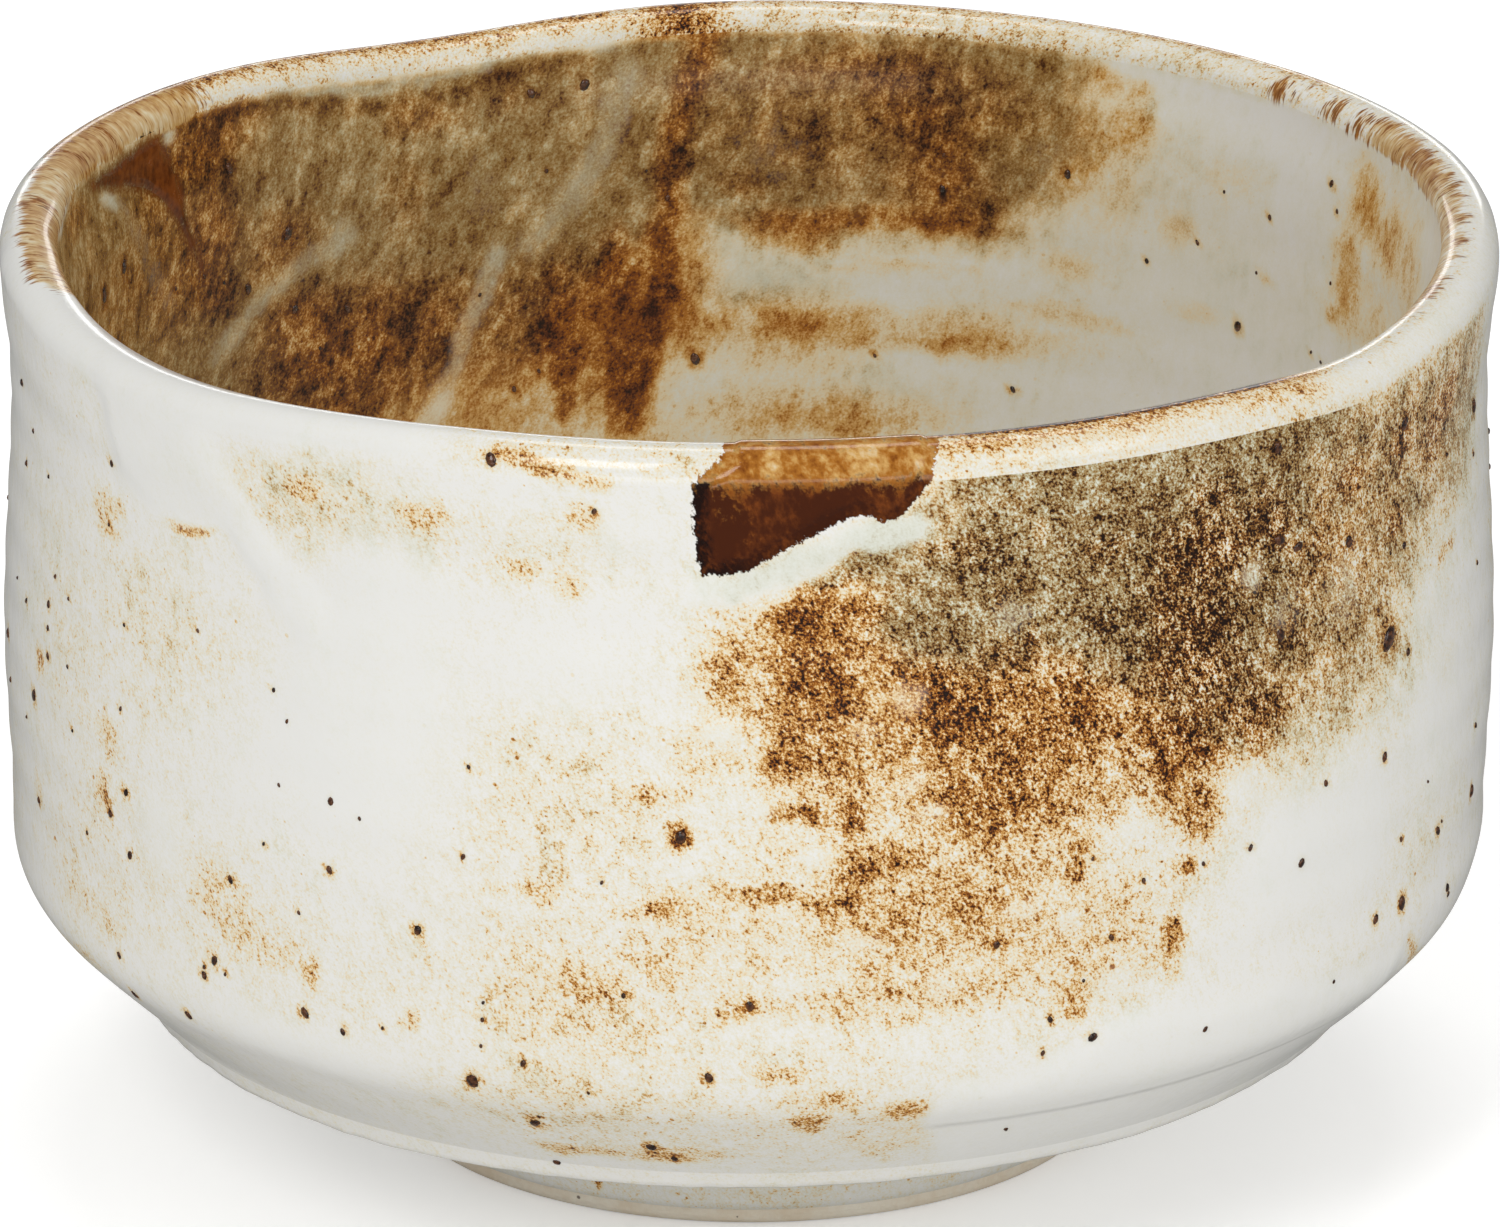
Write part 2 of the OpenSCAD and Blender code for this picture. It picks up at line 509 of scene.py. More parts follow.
OUTSIDE: dict[Layer, tuple[Stroke, ...]] = {
    Layer.RUST: (
        Patch(((13, 75), (13, 69), (9, 66), (2, 64.5), (-1, 62), (-1, 56), (4, 51), (12, 51), (22, 48),
              (30, 46.5), (40, 46.5), (46, 48), (52, 50), (57, 54), (60, 60), (70, 62), (71, 72),
              (60, 74.5)), 0.30, 5.0),
        Dab(20, 49, 13, 7, 0.07), Dab(10, 52, 9, 7, 0.14), Dab(5, 60, 5, 5, 0.50),
        # Dab(6.5, 65.6) here is painted shadow under the raised white run below the iron patch, not rust.
        Dab(4.5, 63.4, 4, 1.5, 0.50, 12), Dab(6.5, 65.6, 4, 0.8, 0.35, 14), Dab(4, 54, 5, 5, 0.30),
        Dab(8.5, 63.5, 2, 2, 0.35), Dab(14, 56, 5.5, 2.6, 0.38, -25), Dab(13, 53, 5, 2.6, 0.18),
        Dab(22, 54, 5, 4, 0.10), Dab(18, 58, 6, 3, 0.20), Dab(24.5, 55, 2, 4, 0.20),
        Dab(16, 67, 4, 1.4, 0.36), Dab(18.5, 63.3, 1.1, 1.1, 0.4), Dab(27.3, 67, 2.6, 1.8, 0.42),
        Dab(27.3, 60.5, 1.6, 1.6, 0.36), Dab(20.5, 59.8, 2.6, 1.6, 0.26), Dab(35.5, 64.5, 4.8, 3.6, 0.74),
        Dab(34.5, 56.5, 5, 5, 0.70), Dab(41.5, 66, 3.2, 3.4, 0.56), Dab(36, 68.8, 3, 1.6, 0.42),
        Dab(32, 61.5, 3, 3, 0.38), Dab(32, 67, 2, 2, 0.32), Dab(38, 53, 5, 3, 0.30),
        Dab(33, 50, 5, 2, 0.34), Dab(40.5, 50.3, 4, 1.8, 0.44), Dab(37, 60, 4, 3, 0.30),
        Dab(37, 59, 9, 10, 0.18), Dab(33.5, 47.5, 5, 2, 0.36), Dab(41.5, 48.6, 2.6, 2, 0.32),
        Dab(34.5, 43, 2.6, 3, 0.40), Dab(31.8, 45.5, 1.6, 2, 0.32), Dab(33.8, 38.6, 1.2, 1.0, 0.45),
        Dab(32.8, 33.4, 1.2, 1.2, 0.35), Dab(21, 50, 7, 3.4, 0.10), Dab(22, 46, 7, 3, 0.12),
        Dab(24.3, 41, 1.6, 2.6, 0.28), Dab(17, 47, 6, 4, 0.20), Dab(3.5, 47, 3, 1.3, 0.50),
        Dab(7.5, 46.5, 2, 2, 0.42), Dab(2.5, 50.5, 1.3, 1.3, 0.32), Dab(8, 42.5, 2, 2, 0.30),
        Dab(1, 40, 5, 1, 0.30), Dab(6, 39.8, 3, 0.9, 0.30), Dab(11, 43, 3, 2, 0.24),
        Dab(-5, 45, 1.6, 1.4, 0.42), Dab(-6.5, 48.5, 4, 1.0, 0.22), Dab(-3, 52, 3, 3, 0.22),
        Dab(-1.5, 58, 2, 4, 0.28), Dab(-6, 39, 3, 1.1, 0.28), Dab(-1, 35, 8, 6, 0.13),
        Dab(15, 36, 12, 6, 0.17), Dab(27, 34, 8, 6, 0.15), Dab(-1, 30.6, 2, 1.1, 0.34),
        Dab(9, 31, 12, 2, 0.17), Dab(-12, 30, 12, 8, 0.07), Dab(12, 41, 16, 7, 0.18),
        Dab(4.3, 20.3, 1.6, 1.1, 0.42), Dab(-28, 4.8, 1.3, 0.55, 1.0), Dab(-22.5, 3.4, 0.8, 0.4, 0.9),
        Dab(-15, 3.8, 0.8, 0.4, 0.9), Dab(12.5, 21.3, 2, 1.3, 0.38), Dab(5.5, 22.3, 3, 1.2, 0.24),
        Dab(2, 25, 2, 0.9, 0.32), Dab(24, 29, 2, 2, 0.24), Dab(33, 31.5, 1.6, 3, 0.26),
        Dab(-14, 15.8, 5, 1.0, 0.34), Dab(-6, 16.2, 5, 1.2, 0.32), Dab(12, 18, 6, 3, 0.14),
        Dab(51, 67, 2, 2, 0.38), Dab(58, 68, 2.6, 1.5, 0.38), Dab(57.3, 61.7, 1.2, 1.4, 0.40),
        Dab(63.5, 67, 3, 4, 0.28), Dab(66, 69, 1.8, 2.6, 0.36), Dab(67, 56, 3, 1.0, 0.34),
        Dab(45, 56, 1.2, 3, 0.24), Dab(47, 62, 4, 5, 0.16), Dab(66, 46, 2, 2, 0.14),
        Dab(-13.5, 64.8, 1.8, 1.5, 0.28), Dab(-17, 66, 2.2, 1.1, 0.22), Dab(-12, 71, 2, 1.5, 0.2),
        Dab(-34, 71, 2.2, 1.1, 0.24), Dab(-24, 70, 2.6, 1.5, 0.24), Dab(-46.3, 64.9, 3.6, 0.6, 0.5, 6),
        Dab(-56.5, 63.3, 2.6, 2, 0.24), Dab(-54.8, 64.6, 0.9, 0.8, 0.42), Dab(-56, 44, 2.4, 2.3, 0.24),
        Dab(-56.8, 38.5, 1.5, 2.4, 0.26), Dab(-69, 45.5, 1.4, 1.8, 0.32), Dab(-70, 34, 1.6, 2.2, 0.22),
        Dab(-39, 31, 5, 2, 0.17), Dab(-43, 34, 4, 3, 0.14), Dab(-34.3, 29.5, 1.3, 1.5, 0.3),
        Dab(-26.5, 27, 1, 1, 0.26), Dab(-16, 39.5, 4, 1, 0.18), Dab(-12, 33, 4, 2, 0.15),
        Dab(-66, 21, 8, 1.5, 0.24, 6), Dab(-60, 27, 6, 2, 0.12),
        Run(((61.5, 24), (65, 21.2), (70, 19.4), (76, 18.8)), 0.9, 0.40), Dab(160, 58, 12, 8, 0.42),
        Dab(150, 64, 7, 4, 0.40), Dab(171, 62, 6, 6, 0.36), Dab(178, 52, 7, 4, 0.30, -20),
        Dab(160, 49, 9, 3, 0.30), Dab(166, 42, 12, 6, 0.18), Dab(184, 44, 5, 4, 0.22),
        Dab(148, 55, 4, 6, 0.34), Dab(-120, 50, 10, 9, 0.16), Dab(-128, 56, 3, 4, 0.24),
        Dab(-112, 44, 3, 2, 0.26), Dab(112, 40, 14, 8, 0.10), Dab(104, 60, 3, 5, 0.22),
        Dab(120, 34, 4, 2, 0.22), Dab(-150, 32, 12, 6, 0.10), Dab(-142, 36, 2, 2, 0.26),
        Dab(205, 60, 8, 3, 0.16), Dab(84, 50, 4, 8, 0.08), Dab(136, 26, 8, 3, 0.14),
        Dab(196, 26, 10, 3, 0.12),
    ),
    Layer.OLIVE: (
        Run(((-1, 65.5), (4.4, 67.7), (11, 69.2)), 1.7, 0.5),
        Patch(((14.4, 77), (13.6, 70), (10, 66.6), (8.6, 62), (11, 59), (15, 57.5), (24, 57), (30, 54),
              (31, 50), (36, 49), (42, 50), (46, 60), (47, 77)), 0.98, 3.0),
        Patch(((42, 77), (42, 60), (41, 50), (48, 47), (55, 48), (60, 54), (64, 58), (72, 60), (76, 68),
              (72, 77)), 0.68, 7.0),
        Run(((-3, 65.3), (1.6, 66.6), (7.2, 69.1), (12.4, 69.8)), 1.6, 0.34),
        # Dab(7.5, 66.2) here is painted shadow: dark greenish shade under the raised white run below the
        # iron patch.
        Dab(7.5, 66.2, 4.4, 1.1, 0.90, 14), Dab(40, 48.6, 6, 2.6, 0.42), Dab(47, 47, 5, 3, 0.40),
        Dab(44, 43, 4, 3, 0.2), Dab(20, 52, 9, 4, 0.24), Dab(-34, 70.5, 12, 3.4, 0.20),
        Dab(-30, 67, 10, 4, 0.12), Dab(-66, 52, 9, 16, 0.14), Dab(-48, 54, 10, 8, 0.10),
        Dab(-12, 50, 8, 9, 0.09), Dab(-12, 24, 14, 7, 0.12), Dab(-10, 68, 6, 4, 0.12),
        Dab(64, 50, 8, 5, 0.16), Dab(66, 34, 6, 6, 0.10), Dab(160, 60, 20, 11, 0.80),
        Dab(176, 66, 10, 6, 0.5), Dab(146, 50, 8, 8, 0.3), Dab(-122, 52, 14, 10, 0.24),
        Dab(106, 56, 10, 12, 0.18), Dab(196, 34, 14, 8, 0.14),
    ),
    Layer.WHITE: (
        Run(((-4, 64.9), (-1, 65.3), (1.6, 66.2), (4.4, 67.7), (7.2, 69.1), (9.5, 69), (11.6, 69.3)),
            1.8, 0.74),
        Run(((-46, 71.8), (-41, 66.6), (-37, 62.6), (-34.5, 60)), 2.4, 0.9),
        Patch(((-57, 76), (-55, 67), (-50, 65.2), (-43, 65.6), (-40, 68), (-44, 76)), 0.85, 1.6),
        Dab(-30, 53, 11, 15, 0.80), Dab(-26, 64, 6, 5, 0.4), Dab(-49.5, 37, 4.5, 6, 0.5),
        Dab(-36, 22.5, 13, 3.4, 0.6), Dab(-14, 58, 8, 6, 0.45), Dab(-40, 44, 5, 7, 0.3),
        Dab(-9, 70, 4, 3, 0.4), Dab(-62, 58, 3, 6, 0.2),
        Patch(((13.6, 20), (14.6, 23.6), (19, 22.8), (24, 25), (28, 27.2), (36, 26.6), (48, 25.4), (60, 24),
              (62, 13), (17, 13)), 0.85, 1.4),
        Dab(42, 37, 6, 8, 0.6), Dab(51, 37, 9, 9, 0.55), Dab(65, 42, 9, 12, 0.45), Dab(63, 53, 5, 3, 0.3),
        Dab(19.5, 62, 2.8, 2.0, 0.36), Dab(11.5, 56, 1.8, 2.2, 0.38), Dab(39.8, 61.5, 1.8, 1.8, 0.45),
        Dab(44, 58, 2.6, 3, 0.26), Dab(50, 58, 4, 5, 0.26), Dab(50, 69, 3, 3, 0.2),
        Dab(8, 53.8, 1.6, 1.2, 0.35), Dab(11.8, 49.4, 1.8, 1.3, 0.40), Dab(29, 42.6, 2.6, 1.6, 0.40),
        Dab(38.5, 44.6, 2.2, 2, 0.45), Dab(-2, 53.6, 2.6, 1.6, 0.5), Dab(5, 43.6, 2.2, 1.3, 0.5),
        Dab(13.5, 46.4, 2, 1.2, 0.42), Dab(1, 47.3, 1.3, 1.0, 0.5), Dab(20, 38, 2.2, 1.1, 0.42),
        Dab(24, 36, 2, 1.4, 0.42), Dab(8, 36, 2.6, 1.4, 0.42), Dab(14, 32, 2.2, 1.6, 0.42),
        Dab(-4, 42, 2, 1.2, 0.4), Dab(28, 30, 3, 2, 0.4), Dab(3, 32.6, 2, 1.1, 0.4),
        Dab(104, 48, 12, 16, 0.5), Dab(-96, 44, 14, 20, 0.45), Dab(130, 62, 7, 12, 0.6),
        Dab(196, 56, 9, 7, 0.5), Run(((172, 69), (178, 62), (188, 57), (197, 56)), 2.2, 0.75),
        Dab(150, 34, 12, 6, 0.45), Dab(-140, 60, 12, 10, 0.5), Dab(-150, 44, 9, 5, 0.5),
        Dab(168, 21, 26, 4, 0.6), Dab(-80, 66, 10, 6, 0.5),
    ),
    Layer.CREAM: (
        Dab(-57, 45, 13, 22, 0.38), Dab(-38, 69, 13, 4.4, 0.42), Dab(-43, 33, 11, 7, 0.55),
        Dab(-12, 40, 13, 20, 0.66), Dab(-14, 20, 15, 5, 0.55), Dab(4, 22, 12, 8, 0.60),
        Dab(16, 36, 20, 13, 0.62), Dab(22, 46, 13, 7, 0.5), Dab(4, 48, 8, 9, 0.6), Dab(-2, 60, 5, 8, 0.4),
        Dab(22, 49, 16, 9, 0.85), Dab(34, 44, 7, 8, 0.7), Dab(-18, 68, 9, 5, 0.40),
        Dab(-62, 30, 13, 8, 0.45), Dab(30, 33, 10, 6, 0.4), Dab(-30, 30, 14, 6, 0.35),
        Dab(62, 32, 10, 7, 0.18), Dab(-48, 56, 10, 8, 0.3), Dab(160, 46, 30, 20, 0.5),
        Dab(-124, 46, 18, 20, 0.5), Dab(110, 40, 16, 18, 0.4), Dab(-160, 34, 20, 12, 0.45),
        Dab(84, 52, 8, 18, 0.25), Dab(-86, 32, 12, 10, 0.35), Dab(-12, 4, 34, 4, 0.5),
        Dab(20, 4, 24, 4, 0.4),
    ),
    Layer.IRON: (OUTER_PANEL,),
    Layer.AMBER: (
        Patch(((-4, 74), (13.5, 74), (14.5, 77), (-2, 77)), 1.0, 1.3), Dab(-1, 72.0, 3, 2.4, 0.30),
        Dab(0.5, 69.2, 2.5, 1.6, 0.22), Dab(10, 73, 2, 1.4, 0.28),
    ),
    Layer.HAIR: (),
    Layer.HALO: (Run(((-18.8, 75.2), (-15, 75.2), (-12.5, 74.2), (-10.5, 73.4)), 0.8, 0.7),),
}

INSIDE: dict[Layer, tuple[Stroke, ...]] = {
    Layer.RUST: (
        Dab(176, 57, 5, 2.5, 0.3),
        Patch(((150, 80), (147, 68), (150, 62), (157, 57.5), (187, 57.5), (187, 32), (230, 24), (288, 24),
              (292, 80)), 0.32, 3.5),
        Dab(163, 64, 4.6, 7, 0.46), Dab(160, 60, 4, 3, 0.32), Dab(168, 71.6, 10, 1.9, 0.36),
        Dab(157, 69, 4, 3, 0.26), Dab(170, 58.3, 14, 1.3, 0.44), Dab(176, 65, 5, 3, 0.14),
        Dab(166.5, 68, 4, 3, 0.32), Dab(180, 61, 3, 1.6, 0.3),
        Run(((183.5, 75), (184.6, 70), (187, 64), (188, 56), (189.6, 48), (190.6, 41)), 1.9, 0.62),
        Run(((192.6, 57), (192.2, 40)), 1.5, 0.46), Run(((198, 54), (197.4, 41)), 1.3, 0.46),
        Dab(195, 50, 10, 8, 0.40), Dab(170, 66, 18, 8, 0.26), Dab(217, 51, 15, 7, 0.56),
        Dab(204, 48, 10, 9, 0.16), Dab(222, 47, 11, 6, 0.40), Dab(224, 54, 5, 3, 0.30),
        Dab(211, 70.6, 5, 2, 0.38), Dab(213, 64, 2.6, 5, 0.22), Dab(226.5, 61.5, 5, 4, 0.36),
        Dab(232, 72, 5, 3, 0.32), Dab(202, 71, 1.6, 1.6, 0.3), Dab(238, 72, 6, 4, 0.60),
        Dab(236, 64, 5, 8, 0.50), Dab(241, 60, 7, 6, 0.42), Dab(248, 64, 10, 8, 0.12),
        Dab(234, 58, 3, 2.6, 0.48), Dab(247, 66, 6, 6, 0.12), Dab(252, 61, 7, 5, 0.24),
        Dab(258, 66, 6, 5, 0.18), Dab(262, 71.6, 5, 1.8, 0.36), Dab(168, 48.1, 20, 2.2, 0.26),
        Dab(160, 46.8, 8, 1.3, 0.24), Dab(178, 47, 10, 5, 0.30), Dab(174, 40, 14, 3, 0.30),
        Dab(186, 52, 4, 8, 0.30), Dab(150, 51, 8, 1.0, 0.18), Dab(166, 53.6, 10, 0.8, 0.16),
        Dab(112, 70, 3.6, 4, 0.32), Dab(115, 63, 2.6, 6, 0.26), Dab(104, 68, 8, 4, 0.22),
        Dab(110, 60, 10, 4, 0.14), Dab(117, 59, 1.2, 1.2, 0.34), Dab(127, 59, 1.3, 1.0, 0.32),
        Dab(143, 69, 3, 2.4, 0.24), Dab(146, 64, 5, 6, 0.14), Dab(138, 61, 2.4, 2.0, 0.20),
        Dab(136, 54, 4, 1.4, 0.18), Dab(130, 67, 5, 3, 0.12), Dab(150, 56, 3, 1.6, 0.20),
        Dab(243, 68, 5, 5, 0.30), Dab(98, 60, 4, 8, 0.2), Dab(145, 72, 4, 1.4, 0.3),
        Dab(186, 28, 34, 8, 0.26), Dab(222, 34, 22, 9, 0.36), Dab(262, 46, 12, 10, 0.3),
        Dab(300, 50, 10, 14, 0.22), Dab(60, 40, 6, 4, 0.22), Dab(20, 54, 8, 4, 0.20),
        Dab(344, 40, 9, 3, 0.22), Dab(84, 34, 10, 3, 0.16), Dab(130, 30, 14, 2, 0.2),
    ),
    Layer.OLIVE: (
        Patch(((150, 80), (148, 66), (152, 61), (158, 57.5), (186, 57), (194, 52), (200, 46), (214, 44),
              (240, 42), (290, 38), (292, 80)), 0.92, 3.0),
        Dab(180, 52, 10, 4, 0.40), Dab(198, 44, 10, 5, 0.42), Dab(197, 72.6, 5, 0.7, 0.5),
        Dab(222, 42, 18, 8, 0.4), Dab(168, 42, 12, 4, 0.22), Dab(150, 56, 6, 4, 0.2),
        Dab(296, 56, 12, 16, 0.4), Dab(140, 64, 10, 9, 0.20), Dab(126, 58, 10, 8, 0.14),
        Dab(152, 50, 12, 3, 0.14),
    ),
    Layer.WHITE: (
        Run(((190.4, 72), (193, 66), (197, 61), (200, 57)), 2.2, 0.30),
        Run(((203.6, 57), (207, 50), (209.8, 42)), 1.9, 0.38),
        Run(((219, 61.5), (228, 57), (235, 52.5)), 1.9, 0.32),
        Run(((250.5, 70), (247, 65.5), (242, 59)), 1.6, 0.24), Dab(253, 70.8, 3, 1.0, 0.45, 12),
        Dab(267, 74.6, 6, 2, 0.70), Dab(205, 63, 3, 5, 0.22), Dab(178, 64, 4, 4, 0.2),
        Dab(152, 65, 4, 3, 0.2), Dab(178, 52.6, 8, 1.8, 0.30), Dab(135, 58, 12, 12, 0.25),
        Dab(240.8, 73.9, 1.6, 1.1, 0.5),
        Run(((192, 74.6), (206, 74.2), (220, 74.0), (236, 74.4)), 0.9, 0.34), Dab(30, 44, 22, 16, 0.4),
        Dab(330, 30, 18, 8, 0.4),
    ),
    Layer.CREAM: (
        Dab(106, 65, 15, 16, 0.80), Dab(156, 50, 24, 9, 0.5), Dab(170, 38, 26, 8, 0.55),
        Dab(92, 50, 16, 24, 0.4), Dab(0, 40, 50, 30, 0.4), Dab(60, 40, 30, 30, 0.35),
        Dab(172, 53, 14, 4, 0.4), Dab(138, 64, 14, 12, 0.45),
    ),
    Layer.IRON: (INNER_PANEL,),
    Layer.AMBER: (Dab(250, 75.4, 9, 1.2, 0.5),),
    Layer.HAIR: (),
    # Painted shade: a dark band just under the lip's inner edge at the back left, where the lip shades the
    # well.
    Layer.HALO: (Run(((194, 72.9), (206, 72.6), (222, 72.6), (234, 73.0)), 0.8, 0.32),),
}


@dataclass(frozen=True)
class LipBand:
    """A band of colour on the lip between two bearings and two places across it."""

    layer: Layer
    start: float
    end: float
    outer: float
    inner: float
    strength: float
    soft: float = 0.14

    def cover(self, bearing: np.ndarray, across: np.ndarray) -> np.ndarray:
        """Return the band's strength, across being 0 at the lip's outer edge and 1 at its inner.

        Args:
            bearing: Bearings of the points in degrees.
            across: Their places across the lip.

        Returns:
            The cover, up to the band's strength.
        """
        middle, half = (self.start + self.end) / 2, (self.end - self.start) / 2
        away = np.abs(degrees_past(bearing, middle))
        along = smooth(half + 3.0, half - 3.0, away)
        over = smooth(self.outer - self.soft, self.outer + self.soft, across)
        return self.strength * along * over * smooth(self.inner + self.soft, self.inner - self.soft, across)


LIP: tuple[LipBand, ...] = (
    LipBand(Layer.HAIR, 236, 288, 0.40, 1.8, 1.0, 0.30),
    LipBand(Layer.HAIR, 62, 112, 0.56, 1.8, 0.72, 0.30),
    LipBand(Layer.HAIR, 106, 130, 0.60, 1.8, 0.34, 0.30),
    LipBand(Layer.RUST, 190, 240, -0.5, 0.84, 0.32, 0.22),
    LipBand(Layer.RUST, 236, 256, -0.5, 0.60, 0.40, 0.20),
    LipBand(Layer.OLIVE, 190, 246, -0.5, 0.80, 0.12),
    LipBand(Layer.CREAM, 120, 184, -0.5, 1.2, 0.45),
    LipBand(Layer.OLIVE, 126, 180, -0.2, 1.2, 0.16),
    LipBand(Layer.CREAM, 150, 240, -0.5, 1.2, 0.50),
    LipBand(Layer.RUST, 122, 186, -0.5, 0.60, 0.26),
    LipBand(Layer.HALO, 194, 242, 0.30, 0.62, 0.22),
    LipBand(Layer.RUST, 12, 45, 0.50, 0.80, 0.85, 0.09),
    LipBand(Layer.HALO, 12, 45, 0.50, 0.76, 0.5, 0.07),
    LipBand(Layer.CREAM, -22, 62, -0.4, 0.6, 0.55),
    LipBand(Layer.RUST, 13, 50, 0.12, 0.60, 0.20, 0.12),
    LipBand(Layer.HALO, 26, 33, 0.0, 0.6, 0.30),
    LipBand(Layer.HALO, 15, 19, 0.1, 0.6, 0.22),
    LipBand(Layer.RUST, 183, 189, -0.2, 1.3, 0.55),
    LipBand(Layer.WHITE, -84, -24, -0.6, 1.4, 0.7),
    LipBand(Layer.WHITE, 46, 130, -0.6, 0.42, 0.45),
    LipBand(Layer.CREAM, 46, 130, -0.5, 1.2, 0.45),
    LipBand(Layer.WHITE, 20, 40, -0.1, 0.3, 0.35),
)


@dataclass(frozen=True)
class Speck:
    """One iron speck that melted through the glaze."""

    bearing: float
    height: float
    radius: float = 0.34
    tall: float = 1.3


@dataclass(frozen=True)
class Sowing:
    """A stretch of the glaze over which small specks are strewn by chance."""

    bearings: tuple[float, float]
    heights: tuple[float, float]
    count: int
    radii: tuple[float, float] = (0.16, 0.36)

    def specks(self, chance: random.Random) -> tuple[Speck, ...]:
        """Strew the specks of this stretch, most of them small.

        Args:
            chance: The seeded source of chance, which all the stretches share.

        Returns:
            The specks.
        """
        small, large = self.radii
        found = []
        for _ in range(self.count):
            bearing = chance.uniform(*self.bearings)
            height = chance.uniform(*self.heights)
            found.append(Speck(bearing, height, small + (large - small) * chance.random() ** 2))
        return tuple(found)


def strewn(large: tuple[Speck, ...], stretches: tuple[Sowing, ...], seed: int) -> tuple[Speck, ...]:
    """Add the small specks of some stretches to the large ones.

    Args:
        large: The large specks, each placed one by one.
        stretches: Where the small ones are strewn.
        seed: The seed of the source of chance.

    Returns:
        All the specks.
    """
    chance = random.Random(seed)
    return sum((stretch.specks(chance) for stretch in stretches), large)


OUTER_SPECKS = strewn(
    (
        Speck(42, 72, 0.5), Speck(58, 70, 0.6), Speck(43, 64, 0.6, 0.9), Speck(45, 63, 0.6, 0.8),
        Speck(51, 62, 0.5), Speck(43, 56, 0.5), Speck(56, 52, 1.0, 1.2), Speck(75, 65, 0.5, 1.6),
        Speck(55, 42, 0.4), Speck(45, 36, 0.4), Speck(65, 32, 0.4), Speck(74, 32, 0.5), Speck(0, 31, 0.4),
        Speck(59, 28, 0.6), Speck(55, 28, 0.4), Speck(68, 26, 0.4), Speck(26, 26, 0.5, 0.9),
        Speck(-5, 45, 0.5), Speck(-3, 25, 0.4), Speck(-17, 19, 0.5), Speck(-8, 17, 0.5),
        Speck(-21, 23, 0.6), Speck(-25, 35, 0.4), Speck(-35, 26, 0.4), Speck(-44, 28, 0.4),
        Speck(-48, 22, 0.4), Speck(-56, 21, 0.4), Speck(-70, 42, 0.5), Speck(-19, 75, 0.5),
        Speck(-17, 10, 0.4),
    ),
    (
        Sowing((-76, -56), (30, 68), 18), Sowing((-58, -38), (22, 66), 12), Sowing((-38, -8), (18, 46), 16),
        Sowing((-38, -8), (46, 72), 4), Sowing((-8, 40), (15, 42), 13), Sowing((40, 78), (24, 66), 14),
        Sowing((80, 285), (20, 64), 32, (0.24, 0.55)),
    ),
    11,
)
INNER_SPECKS = strewn(
    (
        Speck(226, 62, 0.6), Speck(233, 69, 0.5), Speck(231, 58, 0.5), Speck(225, 55, 0.4),
        Speck(219, 54, 0.4), Speck(251, 65, 0.5, 1.6), Speck(256, 64, 0.5, 1.6), Speck(200, 71, 0.4),
        Speck(195, 71, 0.5), Speck(185, 45, 0.5), Speck(150, 64, 0.4), Speck(131, 54, 0.5, 1.2),
    ),
    (
        Sowing((114, 160), (42, 70), 12), Sowing((160, 236), (38, 70), 12), Sowing((236, 262), (56, 72), 3),
        Sowing((262, 474), (30, 64), 10, (0.28, 0.46)),
    ),
    12,
)


